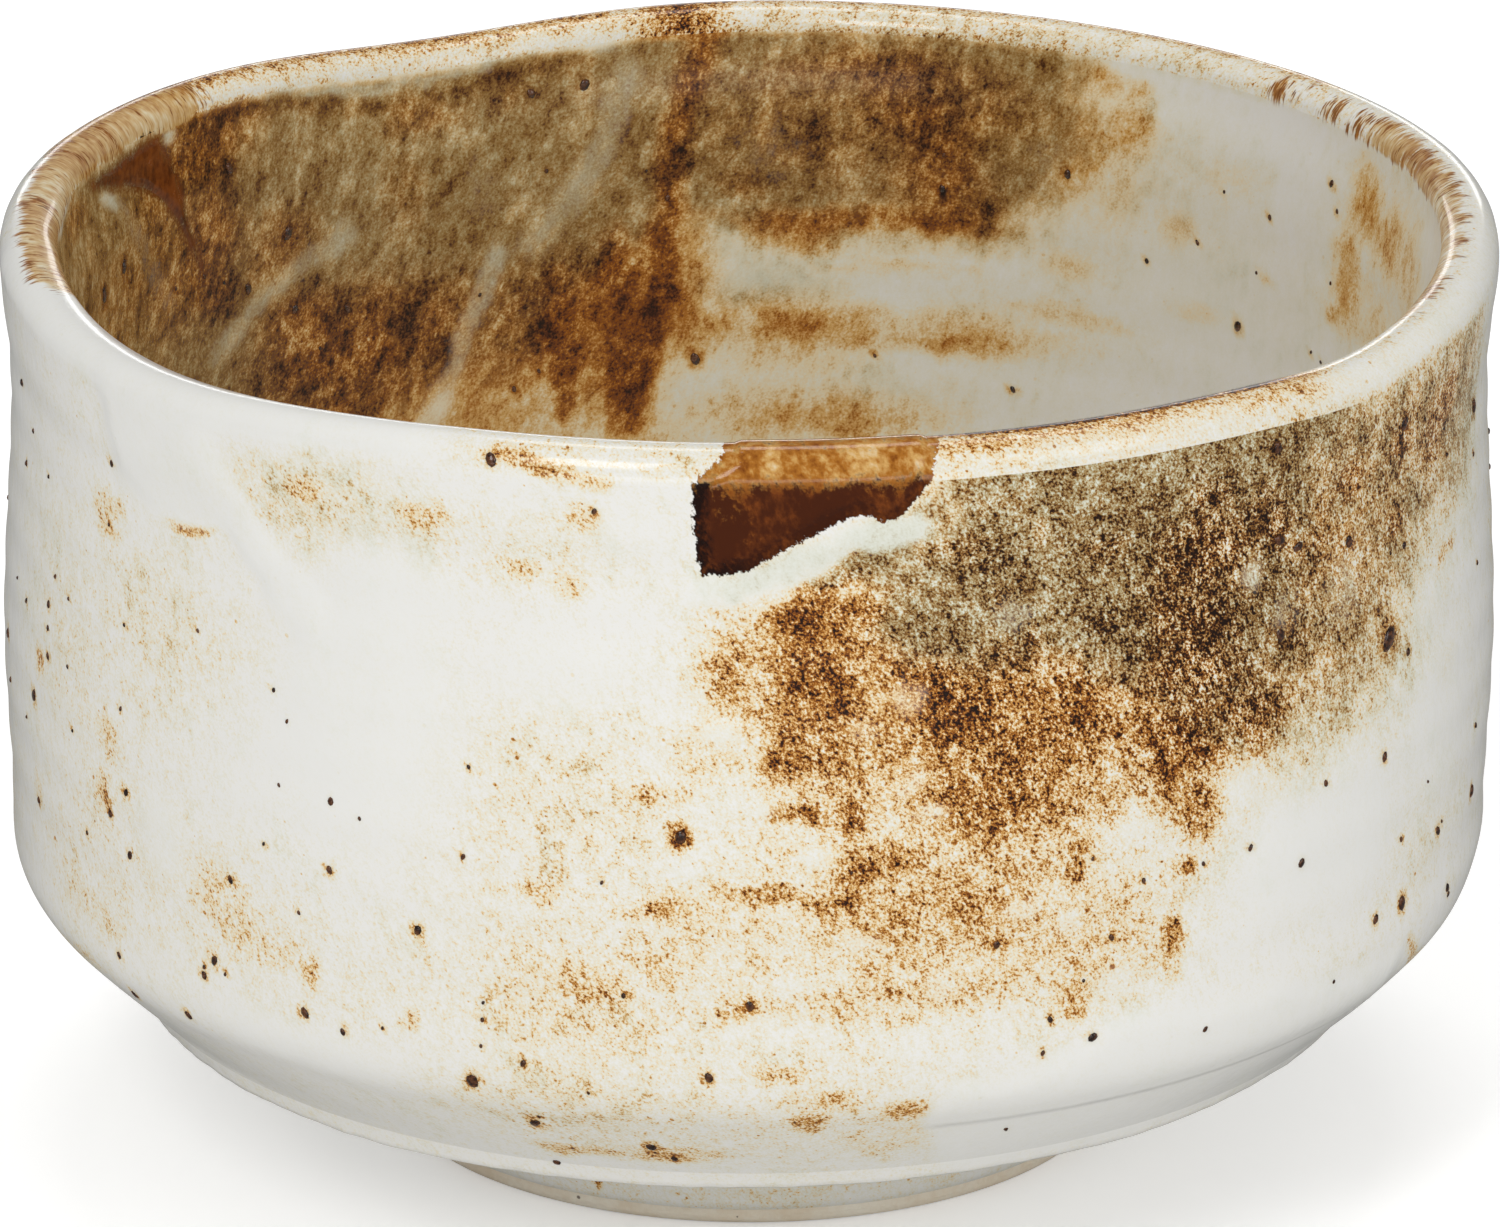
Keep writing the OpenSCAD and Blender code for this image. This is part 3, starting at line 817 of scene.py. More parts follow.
class GlazePainter:
    """Paints the glaze's layers on a coat's points as two colour attributes."""

    WASH = "wash"
    MARK = "mark"
    HALO_DEPTH = 0.85
    HALO_EDGES = (2.1, 0.9)

    def __init__(self, shape: ThrownShape) -> None:
        """Keep the true shape, whose bearings and heights the painting is placed by."""
        self.shape = shape

    @staticmethod
    def _wander(points: np.ndarray, size: float, amount: float) -> np.ndarray:
        """Return a smooth random shift for each point, so that edges of a layer wander."""
        shifts = [noise.noise_vector(Vector(p) / size) for p in points]
        return np.array([(v.x, v.y, v.z) for v in shifts]) * amount

    @staticmethod
    def _built_up(strokes: tuple[Stroke, ...], bearing: np.ndarray, height: np.ndarray,
                  radius: float) -> np.ndarray:
        """Return the cover of several strokes laid over each other.

        Args:
            strokes: The strokes.
            bearing: Bearings of the points in degrees.
            height: Their heights in millimetres.
            radius: Radius of the wall they are on, in millimetres.

        Returns:
            The cover, between 0 and 1.
        """
        bare = np.ones(len(bearing))
        for stroke in strokes:
            bare *= 1.0 - np.clip(stroke.cover(bearing, height, radius), 0.0, 1.0)
        return 1.0 - bare

    def _halos(self, specks: tuple[Speck, ...], bearing: np.ndarray, height: np.ndarray,
               radius: float) -> np.ndarray:
        """Return the rusty halo that each iron speck draws round itself.

        Args:
            specks: The specks.
            bearing: Bearings of the points in degrees.
            height: Their heights in millimetres.
            radius: Radius of the wall they are on, in millimetres.

        Returns:
            How strong the halo is, between 0 and 1.
        """
        halo = np.zeros(len(bearing))
        for speck in specks:
            u = np.radians(degrees_past(bearing, speck.bearing)) * radius
            reach = np.hypot(u, (height - speck.height) / speck.tall) / speck.radius
            halo = np.maximum(halo, self.HALO_DEPTH * smooth(*self.HALO_EDGES, reach))
        return halo

    def layers(self, points: np.ndarray, side: Side) -> np.ndarray:
        """Work out every layer at every point.

        Args:
            points: Points of the true shape in millimetres.
            side: The side of the bowl that they are on.

        Returns:
            One column for each Layer, between 0 and 1.
        """
        s = self.shape
        radius = np.hypot(points[:, 0], points[:, 1])
        bearing = np.degrees(np.arctan2(points[:, 0], -points[:, 1]))
        height = points[:, 2]
        shift = self._wander(points, 9.0, 1.0) + self._wander(points, 2.6, 0.7)
        turn = np.degrees(shift[:, 0] / np.maximum(radius, 5.0))
        across = (s.lip_r - radius) / s.lip_w
        past_crest = np.where((across > 0.5) & (height > s.waist_z), 2 * (s.height - height), 0.0)

        share_in = np.full(len(points), float(side is Side.INNER))
        if side is Side.LIP:
            share_in = smooth(0.78, 1.0, across) * smooth(s.waist_z, s.waist_z + 1.0, height)

        result = np.zeros((len(points), len(Layer)))
        for layer in Layer:
            firm = 0.25 if layer in (Layer.IRON, Layer.AMBER) else 1.0
            b, h = bearing + firm * turn, height + firm * shift[:, 2]
            outside = self._built_up(OUTSIDE[layer], b, h + past_crest, s.lip_r)
            inside = self._built_up(INSIDE[layer], b, h, s.well_r)
            result[:, layer.value] = outside + (inside - outside) * share_in
        halo = self._halos(OUTER_SPECKS, bearing, height, s.lip_r) * (1 - share_in)
        halo += self._halos(INNER_SPECKS, bearing, height, s.well_r) * share_in
        halo *= 1.0 - 0.6 * np.maximum(result[:, Layer.RUST.value], result[:, Layer.OLIVE.value])
        result[:, Layer.HALO.value] = np.maximum(result[:, Layer.HALO.value], halo)

        low_edge = s.height - s.lip_out_h
        on_lip = smooth(low_edge + 0.1, low_edge + 0.9, height + 0.25 * shift[:, 2])
        crisp = smooth(58.0, 44.0, bearing) * smooth(6.0, 10.0, bearing)
        on_lip += (float(side is Side.LIP) - on_lip) * crisp
        for layer in (Layer.RUST, Layer.OLIVE):
            result[:, layer.value] *= 1.0 - on_lip * 0.92
        for band in LIP:
            cover = band.cover(bearing + 0.3 * turn, across) * on_lip
            column = result[:, band.layer.value]
            result[:, band.layer.value] = 1.0 - (1.0 - column) * (1.0 - cover)
        return result

    def paint(self, piece: bpy.types.Object, layers: np.ndarray) -> None:
        """Store the layers of the piece's points as its two colour attributes.

        Args:
            piece: The piece to paint.
            layers: One column for each Layer.
        """
        for name, columns in ((self.WASH, layers[:, :4]), (self.MARK, layers[:, 4:8])):
            attribute = piece.data.attributes.new(name, "FLOAT_COLOR", "POINT")
            attribute.data.foreach_set("color", columns.astype(np.float32).ravel())


# ---------------------------------------------------------------------------------------------
# Materials
# ---------------------------------------------------------------------------------------------


@dataclass(frozen=True)
class Stop:
    """One colour on a scale, at a place from 0 to 1."""

    place: float
    colour: Colour


class Graph:
    """Adds nodes to one tree and links them."""

    def __init__(self, tree: bpy.types.NodeTree) -> None:
        """Start on a tree whose nodes are laid out in a row as they are added."""
        self.tree = tree
        self.column = 0

    def node(self, kind: str, **settings: object) -> bpy.types.Node:
        """Add one node of a kind, with its settings.

        Args:
            kind: The node's type.
            settings: Its properties.

        Returns:
            The new node.
        """
        node = self.tree.nodes.new(kind)
        node.location = (180 * self.column, 0)
        self.column += 1
        for name, value in settings.items():
            setattr(node, name, value)
        return node

    def feed(self, socket: bpy.types.NodeSocket, value: object) -> None:
        """Link a socket to another, or set its value.

        Args:
            socket: The input to feed.
            value: A socket to link, or a plain value.
        """
        if isinstance(value, bpy.types.NodeSocket):
            self.tree.links.new(value, socket)
        else:
            socket.default_value = value

    def math(self, operation: str, a: object, b: object) -> bpy.types.NodeSocket:
        """Return one arithmetic result.

        Args:
            operation: The Math node's operation.
            a: The first term.
            b: The second term.

        Returns:
            The result.
        """
        node = self.node("ShaderNodeMath", operation=operation)
        self.feed(node.inputs[0], a)
        self.feed(node.inputs[1], b)
        return node.outputs[0]

    def add(self, *terms: object) -> bpy.types.NodeSocket:
        """Return the sum of several terms.

        Args:
            terms: Sockets or numbers.

        Returns:
            The sum.
        """
        total = terms[0]
        for term in terms[1:]:
            total = self.math("ADD", total, term)
        return total

    def times(self, a: object, b: object) -> bpy.types.NodeSocket:
        """Return a product."""
        return self.math("MULTIPLY", a, b)

    def ease(self, value: object, low: object, high: object) -> bpy.types.NodeSocket:
        """Return the value eased from 0 at low to 1 at high.

        Args:
            value: Value to ease.
            low: Where the result is 0.
            high: Where it is 1.

        Returns:
            The eased value, between 0 and 1.
        """
        node = self.node("ShaderNodeMapRange", interpolation_type="SMOOTHSTEP")
        self.feed(node.inputs["Value"], value)
        self.feed(node.inputs["From Min"], low)
        self.feed(node.inputs["From Max"], high)
        return node.outputs["Result"]

    def mix(self, share: object, a: object, b: object) -> bpy.types.NodeSocket:
        """Return colour a moved towards colour b by a share.

        Args:
            share: How far to move, from 0 to 1.
            a: The first colour.
            b: The second.

        Returns:
            The mixed colour.
        """
        node = self.node("ShaderNodeMix", data_type="RGBA", clamp_factor=True)
        self.feed(node.inputs[0], share)
        self.feed(node.inputs[6], a)
        self.feed(node.inputs[7], b)
        return node.outputs[2]

    def stretch(self, vector: object, factors: tuple[float, float, float]) -> bpy.types.NodeSocket:
        """Return a vector multiplied along each axis.

        Args:
            vector: The vector.
            factors: One factor for each axis.

        Returns:
            The stretched vector.
        """
        node = self.node("ShaderNodeVectorMath", operation="MULTIPLY")
        self.feed(node.inputs[0], vector)
        node.inputs[1].default_value = factors
        return node.outputs[0]

    def noise(self, vector: object, scale: float, detail: float, rough: float) -> bpy.types.NodeSocket:
        """Return a noise value around 0.5, its scale in features per millimetre.

        Args:
            vector: Place in millimetres.
            scale: Features per millimetre.
            detail: Number of finer layers.
            rough: Share of each finer layer.

        Returns:
            The noise.
        """
        node = self.node("ShaderNodeTexNoise")
        self.feed(node.inputs["Vector"], vector)
        node.inputs["Scale"].default_value = scale
        node.inputs["Detail"].default_value = detail
        node.inputs["Roughness"].default_value = rough
        return node.outputs["Fac"]

    def centred(self, value: object) -> bpy.types.NodeSocket:
        """Return a noise value shifted to lie round 0."""
        return self.math("SUBTRACT", value, 0.5)

    def leaned(self, vector: object, lean: float) -> bpy.types.NodeSocket:
        """Return a place turned about the bowl's axis by so many radians per millimetre of height.

        Args:
            vector: Place in millimetres.
            lean: Radians per millimetre of height.

        Returns:
            The turned place.
        """
        parts = self.node("ShaderNodeSeparateXYZ")
        self.feed(parts.inputs[0], vector)
        node = self.node("ShaderNodeVectorRotate", rotation_type="Z_AXIS")
        self.feed(node.inputs["Vector"], vector)
        self.feed(node.inputs["Angle"], self.times(parts.outputs[2], lean))
        return node.outputs[0]

    def radial(self, vector: object, radius: float, across: float, upright: float) -> bpy.types.NodeSocket:
        """Return a place for streaks that run straight out from the bowl's axis.

        Args:
            vector: Place in millimetres.
            radius: Radius at which the streaks keep their width.
            across: How fast the streaks change along the radius.
            upright: How fast they change with height.

        Returns:
            The place on a circle of that radius, drawn out along the streaks.
        """
        flat = self.stretch(vector, (1.0, 1.0, 0.0))
        length = self.node("ShaderNodeVectorMath", operation="LENGTH")
        self.feed(length.inputs[0], flat)
        unit = self.node("ShaderNodeVectorMath", operation="NORMALIZE")
        self.feed(unit.inputs[0], flat)
        ring = self.stretch(unit.outputs[0], (radius, radius, 1.0))
        parts = self.node("ShaderNodeSeparateXYZ")
        self.feed(parts.inputs[0], vector)
        along = self.add(self.times(length.outputs["Value"], across), self.times(parts.outputs[2], upright))
        lift = self.node("ShaderNodeCombineXYZ")
        self.feed(lift.inputs[2], along)
        total = self.node("ShaderNodeVectorMath", operation="ADD")
        self.feed(total.inputs[0], ring)
        self.feed(total.inputs[1], lift.outputs[0])
        return total.outputs[0]

    def channels(self, attribute: str) -> tuple[bpy.types.NodeSocket, ...]:
        """Return the four values of a painted colour attribute.

        Args:
            attribute: The attribute's name.

        Returns:
            Its four values.
        """
        source = self.node("ShaderNodeAttribute", attribute_name=attribute)
        parts = self.node("ShaderNodeSeparateColor")
        self.feed(parts.inputs[0], source.outputs["Color"])
        return (*parts.outputs[:3], source.outputs["Alpha"])

    def scale(self, value: object, stops: tuple[Stop, ...]) -> bpy.types.NodeSocket:
        """Return the colour that a value has on a scale of colours.

        Args:
            value: A value from 0 to 1.
            stops: The scale's colours, in order.

        Returns:
            The colour.
        """
        node = self.node("ShaderNodeValToRGB")
        ramp = node.color_ramp
        while len(ramp.elements) < len(stops):
            ramp.elements.new(0.5)
        for element, stop in zip(ramp.elements, stops):
            element.position = stop.place
            element.color = stop.colour
        self.feed(node.inputs["Fac"], value)
        return node.outputs["Color"]

    def pinpoints(self, vector: object, scale: float, share: object, size: float) -> bpy.types.NodeSocket:
        """Return a mask of small round specks.

        Args:
            vector: Place in millimetres.
            scale: Cells per millimetre, each of which may hold one speck.
            share: The share of the cells that hold one, from 0 to 1.
            size: The largest speck's radius as a share of a cell.

        Returns:
            The mask, 1 in a speck.
        """
        cell = self.node("ShaderNodeTexVoronoi", feature="F1")
        self.feed(cell.inputs["Vector"], vector)
        cell.inputs["Scale"].default_value = scale
        parts = self.node("ShaderNodeSeparateColor")
        self.feed(parts.inputs[0], cell.outputs["Color"])
        reach = self.times(self.add(0.35, self.times(parts.outputs[1], 0.65)), size)
        inside = self.ease(cell.outputs["Distance"], reach, self.times(reach, 0.55))
        held = self.math("LESS_THAN", parts.outputs[0], share)
        return self.times(inside, held)

    def roughen(self, surface: bpy.types.Node, height: object, strength: float, depth: float) -> None:
        """Give a surface a fine relief.

        Args:
            surface: The surface node.
            height: The relief's height, 1 being the full depth.
            strength: The share of the relief that shows, from 0 to 1.
            depth: The relief's full depth in millimetres.
        """
        bump = self.node("ShaderNodeBump")
        bump.inputs["Strength"].default_value = strength
        bump.inputs["Distance"].default_value = depth * MM
        self.feed(bump.inputs["Height"], height)
        self.feed(surface.inputs["Normal"], bump.outputs["Normal"])


def blank(name: str) -> tuple[bpy.types.Material, Graph, bpy.types.Node]:
    """Return a new material, the graph of its nodes and its surface.

    Args:
        name: The material's name.

    Returns:
        The material, its graph and its surface node.
    """
    material = bpy.data.materials.new(name)
    material.use_nodes = True
    return material, Graph(material.node_tree), material.node_tree.nodes["Principled BSDF"]


def millimetres(graph: Graph) -> bpy.types.NodeSocket:
    """Return the place on the piece, in millimetres."""
    place = graph.node("ShaderNodeTexCoord").outputs["Object"]
    return graph.stretch(place, (1 / MM, 1 / MM, 1 / MM))


@dataclass(frozen=True)
class GlazeColours:
    """The colours that the glaze turns as more and more iron melts into it."""

    over_green: tuple[Stop, ...] = (
        Stop(0.00, (0.73, 0.75, 0.68, 1)), Stop(0.20, (0.62, 0.62, 0.49, 1)),
        Stop(0.35, (0.49, 0.425, 0.26, 1)), Stop(0.48, (0.37, 0.255, 0.105, 1)),
        Stop(0.60, (0.27, 0.14, 0.036, 1)), Stop(0.73, (0.13, 0.047, 0.010, 1)),
        Stop(0.87, (0.045, 0.015, 0.004, 1)), Stop(1.00, (0.015, 0.006, 0.003, 1)),
    )
    over_white: tuple[Stop, ...] = (
        Stop(0.00, (0.79, 0.78, 0.745, 1)), Stop(0.15, (0.76, 0.73, 0.62, 1)),
        Stop(0.28, (0.78, 0.65, 0.42, 1)), Stop(0.42, (0.65, 0.385, 0.125, 1)),
        Stop(0.55, (0.42, 0.160, 0.022, 1)), Stop(0.68, (0.22, 0.062, 0.007, 1)),
        Stop(0.83, (0.065, 0.017, 0.005, 1)), Stop(1.00, (0.015, 0.006, 0.003, 1)),
    )
    white: Colour = (0.79, 0.80, 0.775, 1)
    iron: Colour = (0.060, 0.013, 0.003, 1)
    iron_glow: Colour = (0.20, 0.050, 0.007, 1)
    black: Colour = (0.010, 0.004, 0.003, 1)


@dataclass(frozen=True)
class Finish:
    """How one side of the bowl came out of the kiln."""

    gloss: float
    grain: float = 1.0
    iron_edge: float = 0.51
    iron_glow: float = 0.10
    iron_fringe: float = 1.0


WALL = Finish(gloss=0.15)
LIP_FINISH = Finish(gloss=0.30)
WELL = Finish(gloss=0.10, grain=0.32, iron_edge=0.78, iron_glow=0.34, iron_fringe=0.0)
FOOT = Finish(gloss=0.10)
PANEL = Finish(gloss=0.30)


@dataclass(frozen=True)
class Painted:
    """The painted layers as values in a material, in the order of Layer."""

    rust: bpy.types.NodeSocket
    olive: bpy.types.NodeSocket
    white: bpy.types.NodeSocket
    cream: bpy.types.NodeSocket
    iron: bpy.types.NodeSocket
    amber: bpy.types.NodeSocket
    hair: bpy.types.NodeSocket
    # This value also carries painted shade under the lip inside the well, besides the specks' halos.
    halo: bpy.types.NodeSocket


@dataclass(frozen=True)
class Mottling:
    """Noise of six sizes, the finest first, each value lying round 0."""

    fine: bpy.types.NodeSocket
    grain: bpy.types.NodeSocket
    clump: bpy.types.NodeSocket
    patch: bpy.types.NodeSocket
    cloud: bpy.types.NodeSocket
    drift: bpy.types.NodeSocket

    @classmethod
    def over(cls, g: Graph, place: bpy.types.NodeSocket, leaning: bpy.types.NodeSocket) -> "Mottling":
        """Lay the noise over the bowl.

        Args:
            g: The graph to add to.
            place: Place in millimetres, for the broad noise.
            leaning: The same place leaning with the glaze's flow, for the fine noise.

        Returns:
            The noise.
        """
        run = g.stretch(leaning, (1.0, 1.0, 0.72))
        return cls(
            fine=g.centred(g.noise(leaning, 4.6, 2.0, 0.6)),
            grain=g.centred(g.noise(run, 2.0, 3.0, 0.62)),
            clump=g.centred(g.noise(run, 0.80, 2.0, 0.6)),
            patch=g.centred(g.noise(run, 0.30, 2.0, 0.55)),
            cloud=g.centred(g.noise(place, 0.12, 3.0, 0.55)),
            drift=g.centred(g.noise(place, 0.05, 2.0, 0.5)),
        )


class Firing:
    """Lays out the nodes of the shared glaze group, from the white ground up to the iron."""

    LEAN = 0.004
    LIP_RADIUS = 57.7

    def __init__(self, g: Graph, colours: GlazeColours) -> None:
        """Read what is painted and given, and lay the noise that every step uses.

        Args:
            g: The graph to lay out.
            colours: The glaze's colours.
        """
        self.g = g
        self.colours = colours
        self.place = millimetres(g)
        self.leaning = g.leaned(self.place, self.LEAN)
        self.painted = Painted(*g.channels(GlazePainter.WASH), *g.channels(GlazePainter.MARK))
        self.given = g.node("NodeGroupInput").outputs
        self.noise = Mottling.over(g, self.place, self.leaning)

    def thickness(self) -> bpy.types.NodeSocket:
        """Return how thick the white glaze lies, from 0 to 1."""
        g, n = self.g, self.noise
        return g.ease(g.add(self.painted.white, g.times(n.clump, 0.5), g.times(n.grain, 0.3)), 0.12, 0.72)

    def crystals(self) -> bpy.types.NodeSocket:
        """Return a mask of round crystals of three sizes, thickest in the rust.

        Returns:
            The mask.
        """
        g, rust, cream = self.g, self.painted.rust, self.painted.cream
        wide = g.pinpoints(self.place, 0.40, g.add(0.02, g.times(rust, 0.30), g.times(cream, 0.10)), 0.15)
        small = g.pinpoints(self.leaning, 0.85, g.add(0.02, g.times(rust, 0.75), g.times(cream, 0.20)), 0.20)
        tiny = g.pinpoints(self.leaning, 1.7, g.add(0.02, g.times(rust, 0.60), g.times(cream, 0.16)), 0.26)
        return g.math("MAXIMUM", wide, g.math("MAXIMUM", g.times(small, 0.85), g.times(tiny, 0.7)))

    def melted(self, thick: object, dots: object) -> bpy.types.NodeSocket:
        """Work out how much iron melted into the glaze.

        Args:
            thick: How thick the white glaze lies.
            dots: The mask of crystals.

        Returns:
            The share of iron, from 0 on the white ground to about 1 where it is black.
        """
        g, p, n = self.g, self.painted, self.noise
        sunk_rust = g.times(p.rust, g.math("SUBTRACT", 0.90, g.times(p.olive, 0.62)))
        level = g.add(sunk_rust, g.times(p.olive, 0.43), g.times(p.cream, 0.17), g.times(p.halo, 0.38),
                      g.times(n.drift, 0.10), 0.03)
        swing = g.add(0.13, g.times(p.rust, 0.52), g.times(p.olive, 0.20), g.times(p.cream, 0.16),
                      g.times(p.halo, 0.2))
        sand = g.times(g.add(g.times(n.fine, 3.1), g.times(n.grain, 2.3)), self.given["Grain"])
        broad = g.add(g.times(n.clump, 1.2), g.times(n.patch, 0.90), g.times(n.cloud, 0.7))
        waves = g.add(sand, g.times(broad, g.add(0.80, g.times(self.given["Grain"], 0.20))))
        waves = g.add(waves, g.times(g.math("MAXIMUM", g.add(waves, -0.22), 0.0), 0.7))
        share = g.add(level, g.times(swing, waves))
        share = g.add(share, g.times(g.times(dots, 0.40), self.given["Grain"]))
        return g.times(share, g.math("SUBTRACT", 1.0, g.times(thick, 0.68)))

    def ground(self, share: object, thick: object) -> bpy.types.NodeSocket:
        """Return the glaze's colour for a share of iron, between its white scale and its green one.

        Args:
            share: How much iron melted in.
            thick: How thick the white glaze lies.

        Returns:
            The colour.
        """
        g, p, n, c = self.g, self.painted, self.noise, self.colours
        cast = g.add(g.times(n.clump, 0.7), g.times(n.patch, 0.8), g.times(n.cloud, 0.7),
                     g.times(p.rust, -0.78))
        greenness = g.ease(g.add(p.olive, cast), 0.02, 0.80)
        colour = g.mix(greenness, g.scale(share, c.over_white), g.scale(share, c.over_green))
        return g.mix(g.times(thick, 0.25), colour, c.white)

    def combed(self, colour: object) -> bpy.types.NodeSocket:
        """Lay the lip's hair-like streaks, with the tan bed under them, over a colour.

        Args:
            colour: The glaze's colour under the streaks.

        Returns:
            The colour with the streaks on it.
        """
        g, n, c, hair = self.g, self.noise, self.colours, self.painted.hair
        hairs = g.radial(self.place, self.LIP_RADIUS, 0.22, 0.08)
        lock = g.centred(g.noise(hairs, 0.42, 3.0, 0.6))
        strand = g.centred(g.noise(hairs, 1.8, 2.0, 0.65))
        thread = g.centred(g.noise(hairs, 4.2, 1.0, 0.6))
        tuft = g.add(hair, g.times(lock, 1.35), g.times(strand, 1.0), g.times(thread, 0.4))
        held = g.ease(hair, 0.05, 0.30)
        bed = g.times(g.ease(tuft, 0.30, 0.62), held)
        bed_tone = g.add(0.42, g.times(strand, 0.35), g.times(thread, 0.25), g.times(n.clump, 0.35),
                         g.times(n.cloud, 0.6))
        tan = g.mix(0.30, g.scale(bed_tone, c.over_white), g.scale(bed_tone, c.over_green))
        colour = g.mix(g.times(bed, 0.92), colour, tan)
        fringe = g.times(g.times(hair, g.math("SUBTRACT", 1.10, hair)), 0.70)
        stroke = g.add(g.times(strand, 1.1), g.times(thread, 1.3), g.times(lock, 1.5),
                       g.times(n.grain, 0.5), fringe)
        stroke = g.times(g.times(g.ease(stroke, 0.26, 0.52), held), g.ease(tuft, 0.16, 0.40))
        brown = g.scale(g.add(0.62, g.times(thread, 0.6)), c.over_white)
        return g.mix(g.times(stroke, 0.85), colour, brown)

    def iron(self) -> tuple[bpy.types.NodeSocket, bpy.types.NodeSocket]:
        """Return where the poured iron covers the glaze, and its colour there.

        Returns:
            The cover, from 0 to 1, and the iron's colour.
        """
        g, p, n, c = self.g, self.painted, self.noise, self.colours
        depth = g.add(p.iron, g.times(n.grain, 0.26), g.times(n.fine, 0.16), g.times(n.clump, 0.08))
        solid = g.ease(depth, 0.47, self.given["Iron Edge"])
        glow = g.ease(g.add(g.times(n.grain, 1.2), g.times(n.clump, 0.9), g.times(n.patch, 1.4),
                            self.given["Iron Glow"]), -0.06, 0.76)
        colour = g.mix(glow, c.iron, c.iron_glow)
        across = g.node("ShaderNodeSeparateXYZ")
        g.feed(across.inputs[0], self.place)
        left = g.add(0.30, g.times(g.ease(across.outputs[0], 3.0, -3.0), 0.65))
        edge = g.ease(g.add(depth, g.times(n.patch, 0.4), g.times(n.grain, 0.3)), 0.82, 0.54)
        colour = g.mix(g.times(g.times(edge, left), self.given["Iron Fringe"]), colour, c.black)
        gold = g.ease(g.add(p.amber, g.times(n.grain, 0.9), g.times(n.fine, 0.4), g.times(n.clump, 0.6)),
                      0.34, 0.74)
        gold_tone = g.add(0.53, g.times(n.grain, 0.5), g.times(n.clump, 0.4), g.times(n.patch, 0.5))
        return solid, g.mix(g.times(gold, 0.92), colour, g.scale(gold_tone, c.over_white))

    def build(self) -> None:
        """Lay out every step and feed the group's outputs."""
        g, n = self.g, self.noise
        thick, dots = self.thickness(), self.crystals()
        share = self.melted(thick, dots)
        solid, iron_colour = self.iron()
        out = g.node("NodeGroupOutput")
        g.feed(out.inputs["Color"], g.mix(solid, self.combed(self.ground(share, thick)), iron_colour))
        spotted = g.ease(share, 0.5, 0.9)
        g.feed(out.inputs["Roughness"],
               g.add(0.22, g.times(spotted, 0.12), g.times(n.patch, 0.10), g.times(solid, -0.08)))
        g.feed(out.inputs["Height"], g.add(g.times(n.clump, 0.45), g.times(n.grain, 0.16),
                                           g.times(dots, -0.25), g.times(n.patch, 0.6)))


class FiredGlaze:
    """The glaze of every coat: one node group that turns the painted layers into a fired surface."""

    GROUP = "fired_glaze"

    def __init__(self, colours: GlazeColours = GlazeColours()) -> None:
        """Build the shared group.

        Args:
            colours: The glaze's colours.
        """
        self.group = bpy.data.node_groups.new(self.GROUP, "ShaderNodeTree")
        face = self.group.interface
        for name in ("Grain", "Iron Edge", "Iron Glow", "Iron Fringe"):
            face.new_socket(name, in_out="INPUT", socket_type="NodeSocketFloat")
        face.new_socket("Color", in_out="OUTPUT", socket_type="NodeSocketColor")
        face.new_socket("Roughness", in_out="OUTPUT", socket_type="NodeSocketFloat")
        face.new_socket("Height", in_out="OUTPUT", socket_type="NodeSocketFloat")
        Firing(Graph(self.group), colours).build()

    def material(self, name: str, finish: Finish) -> bpy.types.Material:
        """Return a glaze material.

        Args:
            name: The material's name.
            finish: How this coat came out of the kiln.

        Returns:
            The new material.
        """
        material, g, surface = blank(name)
        field = g.node("ShaderNodeGroup", node_tree=self.group)
        field.inputs["Grain"].default_value = finish.grain
        field.inputs["Iron Edge"].default_value = finish.iron_edge
        field.inputs["Iron Glow"].default_value = finish.iron_glow
        field.inputs["Iron Fringe"].default_value = finish.iron_fringe
        g.feed(surface.inputs["Base Color"], field.outputs["Color"])
        g.feed(surface.inputs["Roughness"], field.outputs["Roughness"])
        g.roughen(surface, field.outputs["Height"], 0.4, 0.15)
        surface.inputs["IOR"].default_value = 1.45
        surface.inputs["Specular IOR Level"].default_value = 0.25
        surface.inputs["Coat Weight"].default_value = finish.gloss
        surface.inputs["Coat Roughness"].default_value = 0.05
        surface.inputs["Coat IOR"].default_value = 1.4
        return material


class MoltenIron:
    """The iron of the specks: black-brown and glassy, rusty brown in patches."""

    def material(self, name: str) -> bpy.types.Material:
        """Return the specks' material.

        Args:
            name: The material's name.

        Returns:
            The new material.
        """
        material, g, surface = blank(name)
        tone = g.noise(millimetres(g), 2.2, 2.0, 0.6)
        colour = g.mix(g.ease(tone, 0.36, 0.66), (0.020, 0.009, 0.006, 1), (0.12, 0.042, 0.014, 1))
        g.feed(surface.inputs["Base Color"], colour)
        g.feed(surface.inputs["Roughness"], g.add(0.12, g.times(tone, 0.25)))
        g.roughen(surface, tone, 0.5, 0.08)
        surface.inputs["Coat Weight"].default_value = 0.3
        return material


